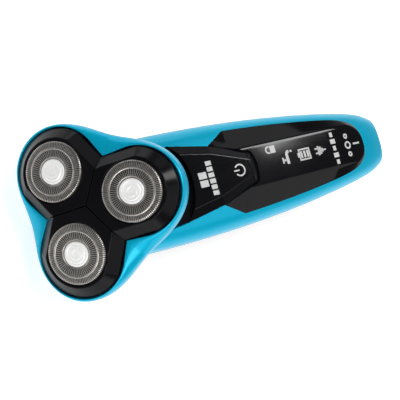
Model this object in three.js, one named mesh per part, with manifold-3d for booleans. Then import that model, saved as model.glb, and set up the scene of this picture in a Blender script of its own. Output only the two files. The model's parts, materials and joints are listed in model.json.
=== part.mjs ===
// A three-headed rotary shaver lying on its back, in millimetres, +Z up.
// The tail points along +X, the shaving head along -X, and the origin is the centre of the flat
// face of the rubber rest pad. The handle is drawn in the "face frame", whose origin is the centre of
// the shaving face, with its front panel on z = 0. The head is drawn in the tilted head frame.
import * as THREE from "three";
import { mergeVertices } from "three/addons/utils/BufferGeometryUtils.js";
import Module from "manifold-3d";

const wasm = await Module();
wasm.setup();

// ---------------------------------------------------------------- driving dimensions
const DEG = Math.PI / 180;
const RUN = 0.3; // running clearance between pieces that move past each other
const SEAT = 0.15; // gap between pieces that seat on each other

// Guards, cutters and lobes. Depths are measured down from the shaving face.
const FOIL_R = 11.25; // cutter guard, outer radius of its face
const SEAM_RIM = 4.51; // guard's edge to the seam between two lobes
const LOBE_RIM = 5.25; // guard's edge to the lobe cover's round end
const LOBE_TILT = 5 * DEG; // each guard leans outwards
const GUARD_TRAVEL = 1.2; // how far a guard floats down
const PLATEAU = 0.9; // a guard stands this proud of its lobe cover
const FLANK = 3.8; // width of the sloping flank round a lobe
const FLANK_DROP = 4.2; // height of that flank
const LOBE_WALL = 1.5;
const SLEEVE_WALL = 1.2;
const GUARD = { plate: 0.5, skirt: 3.6, wall: 0.5, flange: 1.25, flangeThick: 0.6 };
const CAP_R = 4.7; // bright cap at the guard's centre
const WHEEL = { disc: 3.3, thick: 0.6, hubR: 3.0, foot: 6.2, bladeR: 6.0, blades: 12 };
const RETAINER_THICK = 0.7;
const PIN_R = 0.7;

// Gear train
const CENTRE_TEETH = 17;
const LOBE_TEETH = 25;
const GEAR_THICK = 2.0;
const KEY_DEPTH = 6.0; // depth where the lobe's own axis meets its gear's axis
const KEY_HALF = [1.5, 0.7]; // half sides of the driving key
const KEY_TOP = 4.9;
const KEY_SLACK = 0.8;
const COVER_THICK = 1.4;
const TRAY_WALL = 1.2;
const TRAY_FLOOR = 1.1;
const TRAY_VALLEY_ROOM = 7.55; // gear tray to the head's widest line, in a valley

// Head shell
const HEAD_TILT = 47 * DEG; // the face leans this far from the front panel
const SHELL_WALL = 1.7;
const LIP_GAP = 0.4; // lobe cover to head shell
const END_RIM = 1.6; // lobe's round end to the shell's widest line
const VALLEY_RIM = 8.6; // lobe's valley to the same line
const SHELL_LIP = 5.2; // depth of the shell's upper lip in a valley
const LIP_FALL = 1.6; // how much deeper the lip is at a lobe's end
const SHELL_WAIST = 9.2; // depth of its widest line
const SHELL_TUCK = 10.4; // depth where it turns inwards
const SHELL_FOOT_R = 15.2; // its lower rim

// Neck
const BALL_R = 2.2; // the motor shaft drives the head through this ball
const CROSS_PIN_R = 0.6;
const STUB_R = 0.8; // gimbal pivots
const PLUG_R = 9.0;
const PLUG_DEPTH = 25.0; // lower end of the head's plug
const NECK_PLATE_THICK = 1.8;

// Handle
const TAIL_X = 144.2;
const HANDLE_HALF = 22.1; // widest half width
const WIDEST_Z = -13; // level of the greatest width
const PART_Z = -14.5; // front and rear shells part here
const WALL = 1.8;
const RIM = 4.6; // blue rim between the panel and the side
const PANEL_START = 57.2;
const PANEL_WIDE = 66.4;
const PANEL_END = TAIL_X - 12.9;
const PANEL_THICK = 3.8;
const PAD = { x0: 22, x1: 98, half: 9.5, proud: 0.6, sunk: 1.2 };

// Power button, a tongue-shaped plate that rocks about a pin at its neck end
const TONGUE = { x0: 34, x1: 76.2, rise: 1.7, base: 1.8, bevel: 3.6, wellR: 29.6, wellZ: -0.6 };
const BUTTON_PIN = { x: 38.5, z: -3.2 };
const POWER_X = 67.5;

// Motor, cell, board, screws and inlet
const MOTOR = { r: 11, length: 13, room: 1.4 };
const BATTERY = { r: 7, length: 48, x: 57, z: -20 };
const BOARD = { x0: 50, half: 8.5, top: -7.6, thick: 1.2 };
const LAMPS = [83, 90, 98.5, 106.5];
const SCREW = { at: [47, 108], inset: 5.2, r: 1.05, headR: 2.1, boss: 2.5 };
const INLET = { half: [6, 3.2], deep: 7, wall: 1.5, z: -15.5, pinGap: 8, pinR: 0.7 };

// ---------------------------------------------------------------- sizes that follow
const SEAM = 60 * DEG; // half the angle of one lobe
const LOBE_PITCH = (FOIL_R + SEAM_RIM) / Math.sin(SEAM); // head centre to guard centre
const LOBE_R = FOIL_R + LOBE_RIM;
const SKIRT_R = FOIL_R + 0.1;
const FLANGE_R = SKIRT_R + GUARD.flange;
const SLEEVE_R = FLANGE_R + 2 * RUN;
const WHEEL_R = SKIRT_R - GUARD.wall - RUN - 0.25;
const RETAINER_TOP = GUARD.skirt + GUARD_TRAVEL + RUN;
const RETAINER_FOOT = RETAINER_TOP + RETAINER_THICK;
const LOBE_FOOT = RETAINER_FOOT + 0.7;
const HINGE_R = LOBE_PITCH - SLEEVE_R; // head centre to a lobe's hinge pin
const HINGE_DEPTH = LOBE_FOOT + 0.5;
const COVER_DEPTH = HINGE_DEPTH + 2.45;
const GEAR_DEPTH = COVER_DEPTH + COVER_THICK + 0.4; // upper face of the gears
const GEAR_HUB = WHEEL.foot + GUARD_TRAVEL + 1.3; // upper face of a lobe gear's hub
const TRAY_DEPTH = GEAR_DEPTH + GEAR_THICK + 0.4;
const TRAY_FOOT = TRAY_DEPTH + TRAY_FLOOR;
const PIVOT_DEPTH = TRAY_FOOT + 2.0; // the head swivels about this point of the neck axis
const SHELL_FOOT = TRAY_FOOT + 2.5;
const NECK_PLATE = PIVOT_DEPTH + 4.5; // outer face of the plate that closes the handle
const CUP_R = BALL_R + 0.4 + 1.6; // the centre gear's cup round the ball
const PLUG_BORE = CUP_R + 0.8;
const SPIGOT_R = PLUG_BORE + 1.6;
const GIMBAL = { inner: SPIGOT_R + 0.7, outer: SPIGOT_R + 2.6, half: 0.8 };
const MOTOR_TOP = PLUG_DEPTH + 0.4;
const MOTOR_FOOT = MOTOR_TOP + MOTOR.length;
// The handle is just deep enough for the motor, which lies across it along the neck axis.
const HANDLE_DEEP =
  MOTOR_FOOT * Math.cos(HEAD_TILT) + MOTOR.r * Math.sin(HEAD_TILT) + WALL + MOTOR.room;

// ---------------------------------------------------------------- materials
const paint = (color, roughness, metalness) =>
  new THREE.MeshStandardMaterial({ color, roughness, metalness });
const FINISH = {
  blue: paint(0x0a9fbe, 0.25, 0.55),
  gloss: paint(0x07080a, 0.08, 0),
  satin: paint(0x141517, 0.4, 0),
  rubber: paint(0x1b1c1e, 0.85, 0),
  steel: paint(0xa39c95, 0.35, 1),
  bright: paint(0xf0f0ec, 0.18, 0.9),
  white: paint(0xe4e2da, 0.45, 0),
  brass: paint(0xb9944a, 0.3, 1),
  board: paint(0x1f5c3a, 0.6, 0),
  wrap: paint(0x3a6ea8, 0.45, 0),
};

// ---------------------------------------------------------------- small tools
function solid(geometry) {
  const g = geometry.clone();
  for (const name of Object.keys(g.attributes)) if (name !== "position") g.deleteAttribute(name);
  const merged = mergeVertices(g, 1e-4);
  const tris = new Uint32Array(merged.index.array);
  const body = () =>
    new wasm.Manifold(
      new wasm.Mesh({
        numProp: 3,
        vertProperties: new Float32Array(merged.attributes.position.array),
        triVerts: tris,
      }),
    );
  const made = body();
  if (made.volume() > 0) return made;
  for (let i = 0; i < tris.length; i += 3) [tris[i + 1], tris[i + 2]] = [tris[i + 2], tris[i + 1]];
  return body();
}

function geometryOf(body) {
  const mesh = body.getMesh();
  return new THREE.BufferGeometry()
    .setAttribute("position", new THREE.BufferAttribute(new Float32Array(mesh.vertProperties), 3))
    .setIndex(new THREE.BufferAttribute(new Uint32Array(mesh.triVerts), 1));
}

function add(group, name, body, finish) {
  const mesh = new THREE.Mesh(geometryOf(body), finish);
  mesh.name = name;
  group.add(mesh);
  return mesh;
}

const moved = (body, matrix) => body.transform(matrix.elements);
const shift = (x, y, z) => new THREE.Matrix4().makeTranslation(x, y, z);
const spin = (angle) => new THREE.Matrix4().makeRotationZ(angle);

// A cylinder standing on z0, up to z1.
function rod(r, z0, z1, x = 0, y = 0, sides = 24) {
  const g = new THREE.CylinderGeometry(r, r, z1 - z0, sides).rotateX(Math.PI / 2);
  return solid(g.translate(x, y, (z0 + z1) / 2));
}

// A cylinder along X or Y, centred on a point.
function bar(axis, r, length, x, y, z, sides = 16) {
  const g = new THREE.CylinderGeometry(r, r, length, sides);
  if (axis === "x") g.rotateZ(-Math.PI / 2);
  return solid(g.translate(x, y, z));
}

function block(x0, x1, y0, y1, z0, z1) {
  const g = new THREE.BoxGeometry(x1 - x0, y1 - y0, z1 - z0);
  return solid(g.translate((x0 + x1) / 2, (y0 + y1) / 2, (z0 + z1) / 2));
}

// A closed profile of [r, z] points turned about the Z axis.
function turned(profile, sides = 28) {
  const points = profile.map(([r, z]) => new THREE.Vector2(r, z));
  const first = profile[0];
  if (first[0] > 0) points.push(points[0].clone());
  return solid(new THREE.LatheGeometry(points, sides).rotateX(Math.PI / 2));
}

// A flat outline of [x, y] points raised from z0 to z1.
function prism(outline, z0, z1) {
  const shape = new THREE.Shape(outline.map(([x, y]) => new THREE.Vector2(x, y)));
  const g = new THREE.ExtrudeGeometry(shape, { depth: z1 - z0, bevelEnabled: false });
  return solid(g.translate(0, 0, z0));
}

// A closed outline, anticlockwise, moved outwards by a distance.
function grown(outline, distance) {
  const n = outline.length;
  const normal = ([x0, y0], [x1, y1]) => {
    const length = Math.hypot(x1 - x0, y1 - y0);
    return [(y1 - y0) / length, (x0 - x1) / length];
  };
  return outline.map(([x, y], i) => {
    const [ax, ay] = normal(outline[(i + n - 1) % n], outline[i]);
    const [bx, by] = normal(outline[i], outline[(i + 1) % n]);
    const share = distance / (1 + ax * bx + ay * by);
    return [x + (ax + bx) * share, y + (ay + by) * share];
  });
}

// The same outline with a straight bevel round its upper edge.
function bevelled(outline, z0, z1, inset, height) {
  const shape = new THREE.Shape(outline.map(([x, y]) => new THREE.Vector2(x, y)));
  const g = new THREE.ExtrudeGeometry(shape, {
    depth: z1 - z0 - height,
    bevelThickness: height,
    bevelSize: inset,
    bevelOffset: -inset,
    bevelSegments: 1,
  });
  const upper = solid(g.translate(0, 0, z0));
  return upper.subtract(block(-400, 400, -400, 400, z0 - 3 * height, z0));
}

// Rings of equal length joined into a tube, with flat ends.
function loft(rings) {
  const n = rings[0].length;
  const points = rings.flat();
  const centre = (ring) => ring.reduce((a, p) => a.map((v, k) => v + p[k] / ring.length), [0, 0, 0]);
  points.push(centre(rings[0]), centre(rings.at(-1)));
  const index = [];
  for (let i = 0; i + 1 < rings.length; i++)
    for (let j = 0; j < n; j++) {
      const [a, b] = [i * n + j, i * n + ((j + 1) % n)];
      index.push(a, b, b + n, a, b + n, a + n);
    }
  const last = (rings.length - 1) * n;
  for (let j = 0; j < n; j++) {
    const k = (j + 1) % n;
    index.push(k, j, points.length - 2);
    index.push(last + j, last + k, points.length - 1);
  }
  const g = new THREE.BufferGeometry();
  g.setAttribute("position", new THREE.Float32BufferAttribute(points.flat(), 3));
  return solid(g.setIndex(index));
}

// A closed profile that changes with the angle round the Z axis: profile(angle) gives [r, z] points.
function ringLoft(profile, steps) {
  const rings = Array.from({ length: steps }, (_, i) => {
    const a = (i / steps) * 2 * Math.PI;
    return profile(a).map(([r, z]) => [r * Math.cos(a), r * Math.sin(a), z]);
  });
  const n = rings[0].length;
  const index = [];
  for (let i = 0; i < steps; i++)
    for (let j = 0; j < n; j++) {
      const [p, q] = [i * n, ((i + 1) % steps) * n];
      const k = (j + 1) % n;
      index.push(p + j, q + j, q + k, p + j, q + k, p + k);
    }
  const g = new THREE.BufferGeometry();
  g.setAttribute("position", new THREE.Float32BufferAttribute(rings.flat().flat(), 3));
  return solid(g.setIndex(index));
}

// ---------------------------------------------------------------- frames
const restPadCentre = (PAD.x0 + PAD.x1) / 2;
const shaver = new THREE.Group();
const handle = new THREE.Group();
handle.position.set(-restPadCentre, 0, HANDLE_DEEP + PAD.proud);
shaver.add(handle);
const head = new THREE.Group();
head.rotation.y = -HEAD_TILT;
handle.add(head);
const headMatrix = new THREE.Matrix4().makeRotationY(-HEAD_TILT);
// Everything on the handle's side of a plane parallel to the shaving face.
const below = (depth) => moved(block(-150, 250, -60, 60, -400, -depth), headMatrix);

// ---------------------------------------------------------------- handle shape
// Half the handle's width: nearly straight at the neck, tapering and rounding off at the tail.
function halfWidth(x) {
  const widest = 35;
  const near = (widest - x) / widest;
  const far = (x - widest) / (TAIL_X - widest);
  return x < widest
    ? HANDLE_HALF - 2.2 * near ** 2
    : HANDLE_HALF * (1 - 0.463 * far ** 2.15 - 0.12 * far ** 24);
}
function crownZ(x) {
  const start = TAIL_X - 33;
  return x < start ? 0 : -7.1 * ((x - start) / (TAIL_X - start)) ** 2.2;
}
function backZ(x) {
  const start = TAIL_X - 50;
  const tail = x > start ? 8 * ((x - start) / (TAIL_X - start)) ** 2.2 : 0;
  const neck = x < 24 ? 13 * ((24 - x) / 38) ** 2 : 0;
  return -HANDLE_DEEP + tail + neck;
}
const widestZ = (x) => Math.min(WIDEST_Z, crownZ(x) - 5);

// A section across the handle is squarer in front of its widest line than behind it.
const FRONT_POWER = 2.7;
const BACK_POWER = 2.4;
function backSurface(x, y) {
  const z0 = widestZ(x);
  const across = Math.min(1, Math.abs(y) / halfWidth(x));
  return z0 - (z0 - backZ(x)) * (1 - across ** BACK_POWER) ** (1 / BACK_POWER);
}
function section(x, inset, count) {
  const w = halfWidth(x) - inset;
  const zc = widestZ(x);
  const up = crownZ(x) - inset - zc;
  const down = zc - backZ(x) - inset;
  return Array.from({ length: count }, (_, i) => {
    const a = (i / count) * 2 * Math.PI;
    const [c, s] = [Math.cos(a), Math.sin(a)];
    const power = 2 / (s > 0 ? FRONT_POWER : BACK_POWER);
    const y = w * Math.sign(c) * Math.abs(c) ** power;
    const z = zc + (s > 0 ? up : -down) * Math.abs(s) ** power;
    return [x, y, z];
  });
}

// The whole handle, inset by a distance, with its sections closer together towards the tail.
function handleBody(inset, count = 32) {
  const [start, end, steps] = [-14, TAIL_X - inset, 15];
  const rings = Array.from({ length: steps + 1 }, (_, i) => {
    const x = end - (end - start) * (1 - i / steps) ** 1.6;
    return section(x, inset, count);
  });
  return loft(rings);
}

// The display panel: a chamfer at each side of the button, then the rim's line, round at the tail.
function panelOutline() {
  const corner = [PANEL_START, HANDLE_HALF - 10.2];
  const steps = 9;
  const half = Array.from({ length: steps }, (_, i) => {
    const v = 1 - (1 - i / steps) ** 2;
    const x = PANEL_WIDE + (PANEL_END - PANEL_WIDE) * v;
    return [x, (halfWidth(x) - RIM) * (1 - v ** 16) ** (1 / 2.4)];
  });
  const upper = [corner, ...half];
  return [...upper.map(([x, y]) => [x, -y]), [PANEL_END, 0], ...upper.reverse()];
}

function tongueOutline() {
  const upper = [
    [TONGUE.x0, HANDLE_HALF - 6.1],
    [57.0, 11.9],
    [72.6, 6.7],
    [74.6, 5.7],
    [75.8, 3.6],
  ];
  return [...upper.map(([x, y]) => [x, -y]), [TONGUE.x1, 0], ...upper.reverse()];
}

// ---------------------------------------------------------------- handle shells
const outer = handleBody(0);
const inner = handleBody(WALL, 24);
const shells = outer.subtract(inner).intersect(below(NECK_PLATE + NECK_PLATE_THICK + SEAT));
const above = block(-100, 400, -90, 90, PART_Z, 60);
const panelBottom = -PANEL_THICK;
const hingeBar = bar("y", PIN_R + 0.1, 90, BUTTON_PIN.x, 0, BUTTON_PIN.z, 12);

// Screws near the sides hold the shells together, in bosses that meet below the parting line.
const screwPlaces = SCREW.at.flatMap((x) => {
  const y = halfWidth(x) - SCREW.inset;
  return [
    [x, y],
    [x, -y],
  ];
});
const bossFoot = PART_Z - 8;
const post = (at) =>
  rod(SCREW.boss, PART_Z, -2.2, ...at, 16)
    .intersect(handleBody(WALL - 0.3))
    .add(rod(SCREW.boss, bossFoot, PART_Z + 0.5, ...at, 16).intersect(handleBody(WALL + RUN)));
const column = (at) =>
  rod(SCREW.boss + 0.4, -90, bossFoot - SEAT, ...at, 16).intersect(handleBody(WALL - 0.3));
const screwSeat = ([x, y]) => backSurface(x, Math.abs(y) + SCREW.headR + RUN) + 1.7;

let frontShell = shells.intersect(above);
for (const at of screwPlaces) frontShell = frontShell.add(post(at));
for (const at of screwPlaces)
  frontShell = frontShell.subtract(rod(SCREW.r + RUN, -90, PART_Z + 2, ...at, 12));
// The panel rests on a ledge, and two brackets hold the button's pin.
const ledge = prism(grown(panelOutline(), 1.4), panelBottom - 1.8, -1.5)
  .subtract(prism(grown(panelOutline(), -1.6), -20, 20))
  .intersect(handleBody(WALL / 2));
const bracketEnd = halfWidth(BUTTON_PIN.x) - 5;
const bracket = (y0, y1) =>
  block(BUTTON_PIN.x - 1.8, BUTTON_PIN.x + 1.8, y0, y1, BUTTON_PIN.z - 2.4, BUTTON_PIN.z + 1.1);
frontShell = frontShell
  .add(ledge)
  .subtract(prism(grown(panelOutline(), SEAT), panelBottom - SEAT, 20))
  .subtract(prism(grown(tongueOutline(), RUN), -7, 20))
  .add(bracket(bracketEnd - 4.4, bracketEnd))
  .add(bracket(-bracketEnd, 4.4 - bracketEnd))
  .subtract(hingeBar);

let rearShell = shells.subtract(block(-100, 400, -90, 90, PART_Z - SEAT, 60));
for (const at of screwPlaces) rearShell = rearShell.add(column(at));
for (const at of screwPlaces) {
  rearShell = rearShell
    .subtract(rod(SCREW.r + RUN, -90, 0, ...at, 12))
    .subtract(rod(SCREW.headR + RUN, -90, screwSeat(at), ...at, 16));
}

// The inlet's insert goes through the tail wall, and the pad lies in a shallow pocket.
const [inletY, inletZ] = INLET.half;
const inletOuter = (gap) =>
  block(
    TAIL_X - INLET.deep - INLET.wall - gap,
    TAIL_X + 5,
    -inletY - INLET.wall - gap,
    inletY + INLET.wall + gap,
    INLET.z - inletZ - INLET.wall - gap,
    INLET.z + inletZ + INLET.wall + gap,
  );
frontShell = frontShell.subtract(inletOuter(SEAT));
rearShell = rearShell.subtract(inletOuter(SEAT));

function padOutline() {
  const { x0, x1, half } = PAD;
  const round = half * 0.8;
  const corners = [
    [x1 - round, half - round],
    [x0 + round, half - round],
    [x0 + round, round - half],
    [x1 - round, round - half],
  ];
  return corners.flatMap(([cx, cy], quarter) =>
    Array.from({ length: 5 }, (_, k) => {
      const a = (quarter + k / 4) * 90 * DEG;
      return [cx + round * Math.cos(a), cy + round * Math.sin(a)];
    }),
  );
}
const padTop = PAD.sunk - HANDLE_DEEP;
const padPocket = prism(grown(padOutline(), SEAT), -HANDLE_DEEP - 5, padTop + SEAT);

add(handle, "front_shell", frontShell, FINISH.blue);
add(handle, "rear_shell", rearShell.subtract(padPocket), FINISH.satin);
add(handle, "rest_pad", prism(padOutline(), -HANDLE_DEEP - PAD.proud, padTop), FINISH.rubber);
screwPlaces.forEach((at, i) => {
  const seat = screwSeat(at);
  const [x, y] = at;
  const screw = rod(SCREW.headR, seat - 1.5, seat - SEAT, x, y, 16)
    .add(rod(SCREW.r, seat - 1, PART_Z + 1.5, x, y, 10))
    .subtract(block(x - 1.4, x + 1.4, y - 0.3, y + 0.3, seat - 2, seat - 0.9))
    .subtract(block(x - 0.3, x + 0.3, y - 1.4, y + 1.4, seat - 2, seat - 0.9));
  add(handle, `shell_screw_${i + 1}`, screw, FINISH.steel);
});

// ---------------------------------------------------------------- panel and button
const panel = handleBody(0)
  .intersect(prism(panelOutline(), panelBottom, 20))
  .subtract(prism(grown(tongueOutline(), RUN), -10, 20));
add(handle, "display_panel", panel, FINISH.gloss);

// Its neck end is scooped by a round well that leaves room for the swivelling head.
const bumpFoot = -TONGUE.base - 0.9;
const lugSide = 1.3;
const hingeLug = (y) =>
  block(
    BUTTON_PIN.x - lugSide,
    BUTTON_PIN.x + lugSide,
    y - 1,
    y + 1,
    BUTTON_PIN.z - lugSide,
    -TONGUE.base + 0.2,
  );
const well = moved(rod(TONGUE.wellR, -60, 60, 0, 0, 48), headMatrix);
const tongueTop = TONGUE.rise + 0.7;
const button = bevelled(tongueOutline(), -TONGUE.base, TONGUE.rise, TONGUE.bevel, tongueTop)
  .add(hingeLug(7))
  .add(hingeLug(-7))
  .add(rod(1.6, bumpFoot, -TONGUE.base + 0.2, POWER_X, 0, 16))
  .subtract(well.intersect(block(-80, 80, -60, 60, TONGUE.wellZ, 20)))
  .subtract(hingeBar);
add(handle, "power_button", button, FINISH.gloss);
const hingePin = bar("y", PIN_R, 2 * bracketEnd - 4, BUTTON_PIN.x, 0, BUTTON_PIN.z, 12);
add(handle, "button_hinge_pin", hingePin, FINISH.steel);

// ---------------------------------------------------------------- electronics
const boardEnd = PANEL_END - 19;
const board = block(BOARD.x0, boardEnd, -BOARD.half, BOARD.half, BOARD.top - BOARD.thick, BOARD.top);
add(handle, "circuit_board", board, FINISH.board);
const switchTop = BOARD.top + 2.6;
const switchFloor = BOARD.top + 1.2;
const switchBody = block(POWER_X - 3, POWER_X + 3, -3, 3, BOARD.top + 0.1, switchTop);
add(
  handle,
  "tact_switch",
  switchBody.subtract(rod(1.9, switchFloor, switchTop + 2, POWER_X, 0, 16)),
  FINISH.satin,
);
const plunger = rod(1.6, switchFloor + 0.7, bumpFoot - 0.2, POWER_X, 0, 16);
add(handle, "switch_plunger", plunger, FINISH.white);

// Lamps shine through wells in a light guide under the panel.
const guideTop = panelBottom - RUN;
let guide = block(LAMPS[0] - 3.5, LAMPS.at(-1) + 4, -8, 8, BOARD.top + 1.6, guideTop);
LAMPS.forEach((x, i) => {
  const lamp = block(x - 1.5, x + 1.5, -1, 1, BOARD.top + 0.1, BOARD.top + 1.1);
  add(handle, `indicator_lamp_${i + 1}`, lamp, FINISH.white);
  guide = guide.subtract(block(x - 2, x + 2, -3.5, 3.5, BOARD.top, guideTop - 1.1));
});
add(handle, "light_guide", guide, FINISH.white);

const cellProfile = [
  [0, 0],
  [BATTERY.r, 0],
  [BATTERY.r, BATTERY.length - 1.4],
  [BATTERY.r - 0.8, BATTERY.length - 0.7],
  [2.6, BATTERY.length - 0.7],
  [2.6, BATTERY.length],
  [0, BATTERY.length],
];
const alongX = new THREE.Matrix4().makeRotationY(Math.PI / 2);
const cell = moved(moved(turned(cellProfile, 20), alongX), shift(BATTERY.x, 0, BATTERY.z));
add(handle, "battery", cell, FINISH.wrap);
const cradleWall = 1.6;
const cradleHalf = BATTERY.r + cradleWall;
const cradle = block(
  BATTERY.x + 4,
  BATTERY.x + BATTERY.length - 4,
  -cradleHalf,
  cradleHalf,
  BATTERY.z - cradleHalf,
  BATTERY.z,
).subtract(bar("x", BATTERY.r + 0.2, 200, BATTERY.x, 0, BATTERY.z, 20));
add(handle, "battery_cradle", cradle, FINISH.satin);

// ---------------------------------------------------------------- charging inlet
const pinPlaces = [
  ["charge_pin_left", INLET.pinGap / 2],
  ["charge_pin_right", -INLET.pinGap / 2],
];
let socket = inletOuter(0)
  .subtract(block(TAIL_X - INLET.deep, TAIL_X + 9, -inletY, inletY, INLET.z - inletZ, INLET.z + inletZ))
  .intersect(handleBody(-0.4));
const pinLength = INLET.deep + INLET.wall + 2;
for (const [name, y] of pinPlaces) {
  socket = socket.subtract(bar("x", INLET.pinR + 0.1, 60, TAIL_X, y, INLET.z, 12));
  const pin = bar("x", INLET.pinR, pinLength, TAIL_X - 1.5 - pinLength / 2, y, INLET.z, 12);
  add(handle, name, pin, FINISH.brass);
}
add(handle, "charge_socket", socket, FINISH.satin);

// ---------------------------------------------------------------- neck, in the head frame
const collarR = PLUG_R + 3.4;
const endPlate = moved(handleBody(0), headMatrix.clone().invert())
  .intersect(block(-90, 90, -60, 60, -NECK_PLATE - NECK_PLATE_THICK, -NECK_PLATE))
  .add(rod(collarR, -NECK_PLATE - 0.5, -NECK_PLATE + 0.5))
  .subtract(rod(PLUG_R + RUN, -60, 0));
add(head, "neck_plate", endPlate, FINISH.satin);

const flangeDepth = NECK_PLATE - 0.5 - SEAT;
const spigotTop = -PIVOT_DEPTH + 1.6;
const plug = turned([
  [PLUG_BORE, -PLUG_DEPTH],
  [PLUG_R, -PLUG_DEPTH],
  [PLUG_R, -flangeDepth],
  [collarR - 0.2, -flangeDepth],
  [collarR - 0.2, -flangeDepth + 0.9],
  [SPIGOT_R, -flangeDepth + 1.3],
  [SPIGOT_R, spigotTop],
  [PLUG_BORE, spigotTop],
]).subtract(bar("y", STUB_R + 0.25, 40, 0, 0, -PIVOT_DEPTH, 12));
add(head, "neck_plug", plug, FINISH.satin);

const hubBore = GIMBAL.outer + 0.8;
const hubR = hubBore + 2;
const stub = (axis, from, to) => {
  const middle = (from + to) / 2;
  const at = axis === "x" ? [middle, 0] : [0, middle];
  return bar(axis, STUB_R, to - from, ...at, -PIVOT_DEPTH, 12);
};
const gimbal = turned([
  [GIMBAL.inner, -PIVOT_DEPTH - GIMBAL.half],
  [GIMBAL.outer, -PIVOT_DEPTH - GIMBAL.half],
  [GIMBAL.outer, -PIVOT_DEPTH + GIMBAL.half],
  [GIMBAL.inner, -PIVOT_DEPTH + GIMBAL.half],
])
  .add(stub("y", PLUG_BORE + 0.2, GIMBAL.inner + 0.7))
  .add(stub("y", -GIMBAL.inner - 0.7, -PLUG_BORE - 0.2))
  .add(stub("x", GIMBAL.outer - 0.7, hubR - 0.4))
  .add(stub("x", 0.4 - hubR, 0.7 - GIMBAL.outer));
add(head, "gimbal_ring", gimbal, FINISH.white);

// ---------------------------------------------------------------- motor, on the neck axis
const can = turned([
  [0, -MOTOR_FOOT],
  [MOTOR.r - 0.8, -MOTOR_FOOT],
  [MOTOR.r, -MOTOR_FOOT + 0.8],
  [MOTOR.r, -MOTOR_TOP - 0.8],
  [MOTOR.r - 0.8, -MOTOR_TOP],
  [2.2, -MOTOR_TOP],
  [2.2, -MOTOR_TOP - 2],
  [0, -MOTOR_TOP - 2],
]);
add(head, "motor", can, FINISH.steel);
const motorBracket = turned([
  [MOTOR.r + 0.2, -MOTOR_TOP - 7],
  [MOTOR.r + 1.6, -MOTOR_TOP - 7],
  [MOTOR.r + 1.6, -NECK_PLATE - NECK_PLATE_THICK - SEAT],
  [PLUG_R + 2 * RUN, -NECK_PLATE - NECK_PLATE_THICK - SEAT],
  [PLUG_R + 2 * RUN, -MOTOR_TOP + SEAT],
  [MOTOR.r + 0.2, -MOTOR_TOP + SEAT],
]);
add(head, "motor_bracket", motorBracket, FINISH.white);

// The shaft ends in a ball with a cross pin, which drives the head while it swivels.
const pinHalf = CUP_R - 0.8;
const ball = solid(new THREE.SphereGeometry(BALL_R, 16, 10).translate(0, 0, -PIVOT_DEPTH));
const rotor = rod(1.5, -MOTOR_TOP - 1.6, -PIVOT_DEPTH - 1, 0, 0, 16)
  .add(ball)
  .subtract(bar("x", CROSS_PIN_R + 0.05, 20, 0, 0, -PIVOT_DEPTH, 12));
add(head, "motor_shaft", rotor, FINISH.steel);
const crossPin = bar("x", CROSS_PIN_R, 2 * pinHalf, 0, 0, -PIVOT_DEPTH, 12);
add(head, "shaft_cross_pin", crossPin, FINISH.steel);

// ---------------------------------------------------------------- head shell
// Distance from the head's centre to the edge of the lobe covers, at an angle from a lobe's axis:
// round the lobe's end, then straight to the valley between two lobes.
function lobeEdge(angle) {
  const a = Math.acos(Math.cos(3 * angle)) / 3;
  const touch = 120 * DEG - Math.acos(LOBE_R / LOBE_PITCH);
  const [tx, ty] = [LOBE_PITCH + LOBE_R * Math.cos(touch), LOBE_R * Math.sin(touch)];
  if (a <= Math.atan2(ty, tx))
    return LOBE_PITCH * Math.cos(a) + Math.sqrt(LOBE_R ** 2 - (LOBE_PITCH * Math.sin(a)) ** 2);
  const [vx, vy] = [LOBE_PITCH * Math.cos(SEAM), LOBE_PITCH * Math.sin(SEAM)];
  const [dx, dy] = [tx - vx, ty - vy];
  return (vx * dy - vy * dx) / (Math.cos(a) * dy - Math.sin(a) * dx);
}

// The shell's widest line is a mean radius with a wave of three lobes on it.
const peakR = LOBE_PITCH + LOBE_R + END_RIM;
const valleyR = LOBE_PITCH + VALLEY_RIM;
const trefoil = (angle) => (peakR + valleyR) / 2 + ((peakR - valleyR) / 2) * Math.cos(3 * angle);

// A point on the shell's lower surface, between its widest line (0) and its foot (1).
function tuckPoint(wide, inset, t) {
  const power = 2 / 2.5;
  const foot = SHELL_FOOT_R - inset * 0.6;
  const q = (t * Math.PI) / 2;
  return [
    foot + (wide - inset - foot) * Math.cos(q) ** power,
    -SHELL_TUCK - (SHELL_FOOT - inset - SHELL_TUCK) * Math.sin(q) ** power,
  ];
}

function shellProfile(angle) {
  const lip = lobeEdge(angle) + LIP_GAP;
  const lipDepth = SHELL_LIP + (LIP_FALL * (1 + Math.cos(3 * angle))) / 2;
  const wide = trefoil(angle);
  const points = [];
  for (const t of [0, 0.33, 0.67, 1]) {
    const q = (t * Math.PI) / 2;
    points.push([
      lip + 1.0 + (wide - lip - 1.0) * Math.sin(q),
      -lipDepth - (SHELL_WAIST - lipDepth) * (1 - Math.cos(q)),
    ]);
  }
  for (const t of [0, 0.35, 0.7, 1]) points.push(tuckPoint(wide, 0, t));
  for (const t of [1, 0.6, 0.3]) points.push(tuckPoint(wide, SHELL_WALL, t));
  points.push([Math.max(lip + 0.2, wide - SHELL_WALL - 1.2), -SHELL_WAIST]);
  points.push([lip, -lipDepth - SHELL_WALL]);
  points.push([lip, -lipDepth]);
  return points;
}
const HEAD_STEPS = 45;
add(head, "head_shell", ringLoft(shellProfile, HEAD_STEPS), FINISH.blue);

// The room inside the shell's lower part.
function insideShell(inset) {
  const rings = [0.96, 0.6, 0.45, 0.3, 0].map((t) =>
    Array.from({ length: HEAD_STEPS }, (_, i) => {
      const a = (i / HEAD_STEPS) * 2 * Math.PI;
      const [r, z] = tuckPoint(trefoil(a), inset, t);
      return [r * Math.cos(a), r * Math.sin(a), z];
    }),
  );
  rings.push(rings.at(-1).map(([x, y]) => [x, y, 0]));
  return loft(rings);
}

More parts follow.
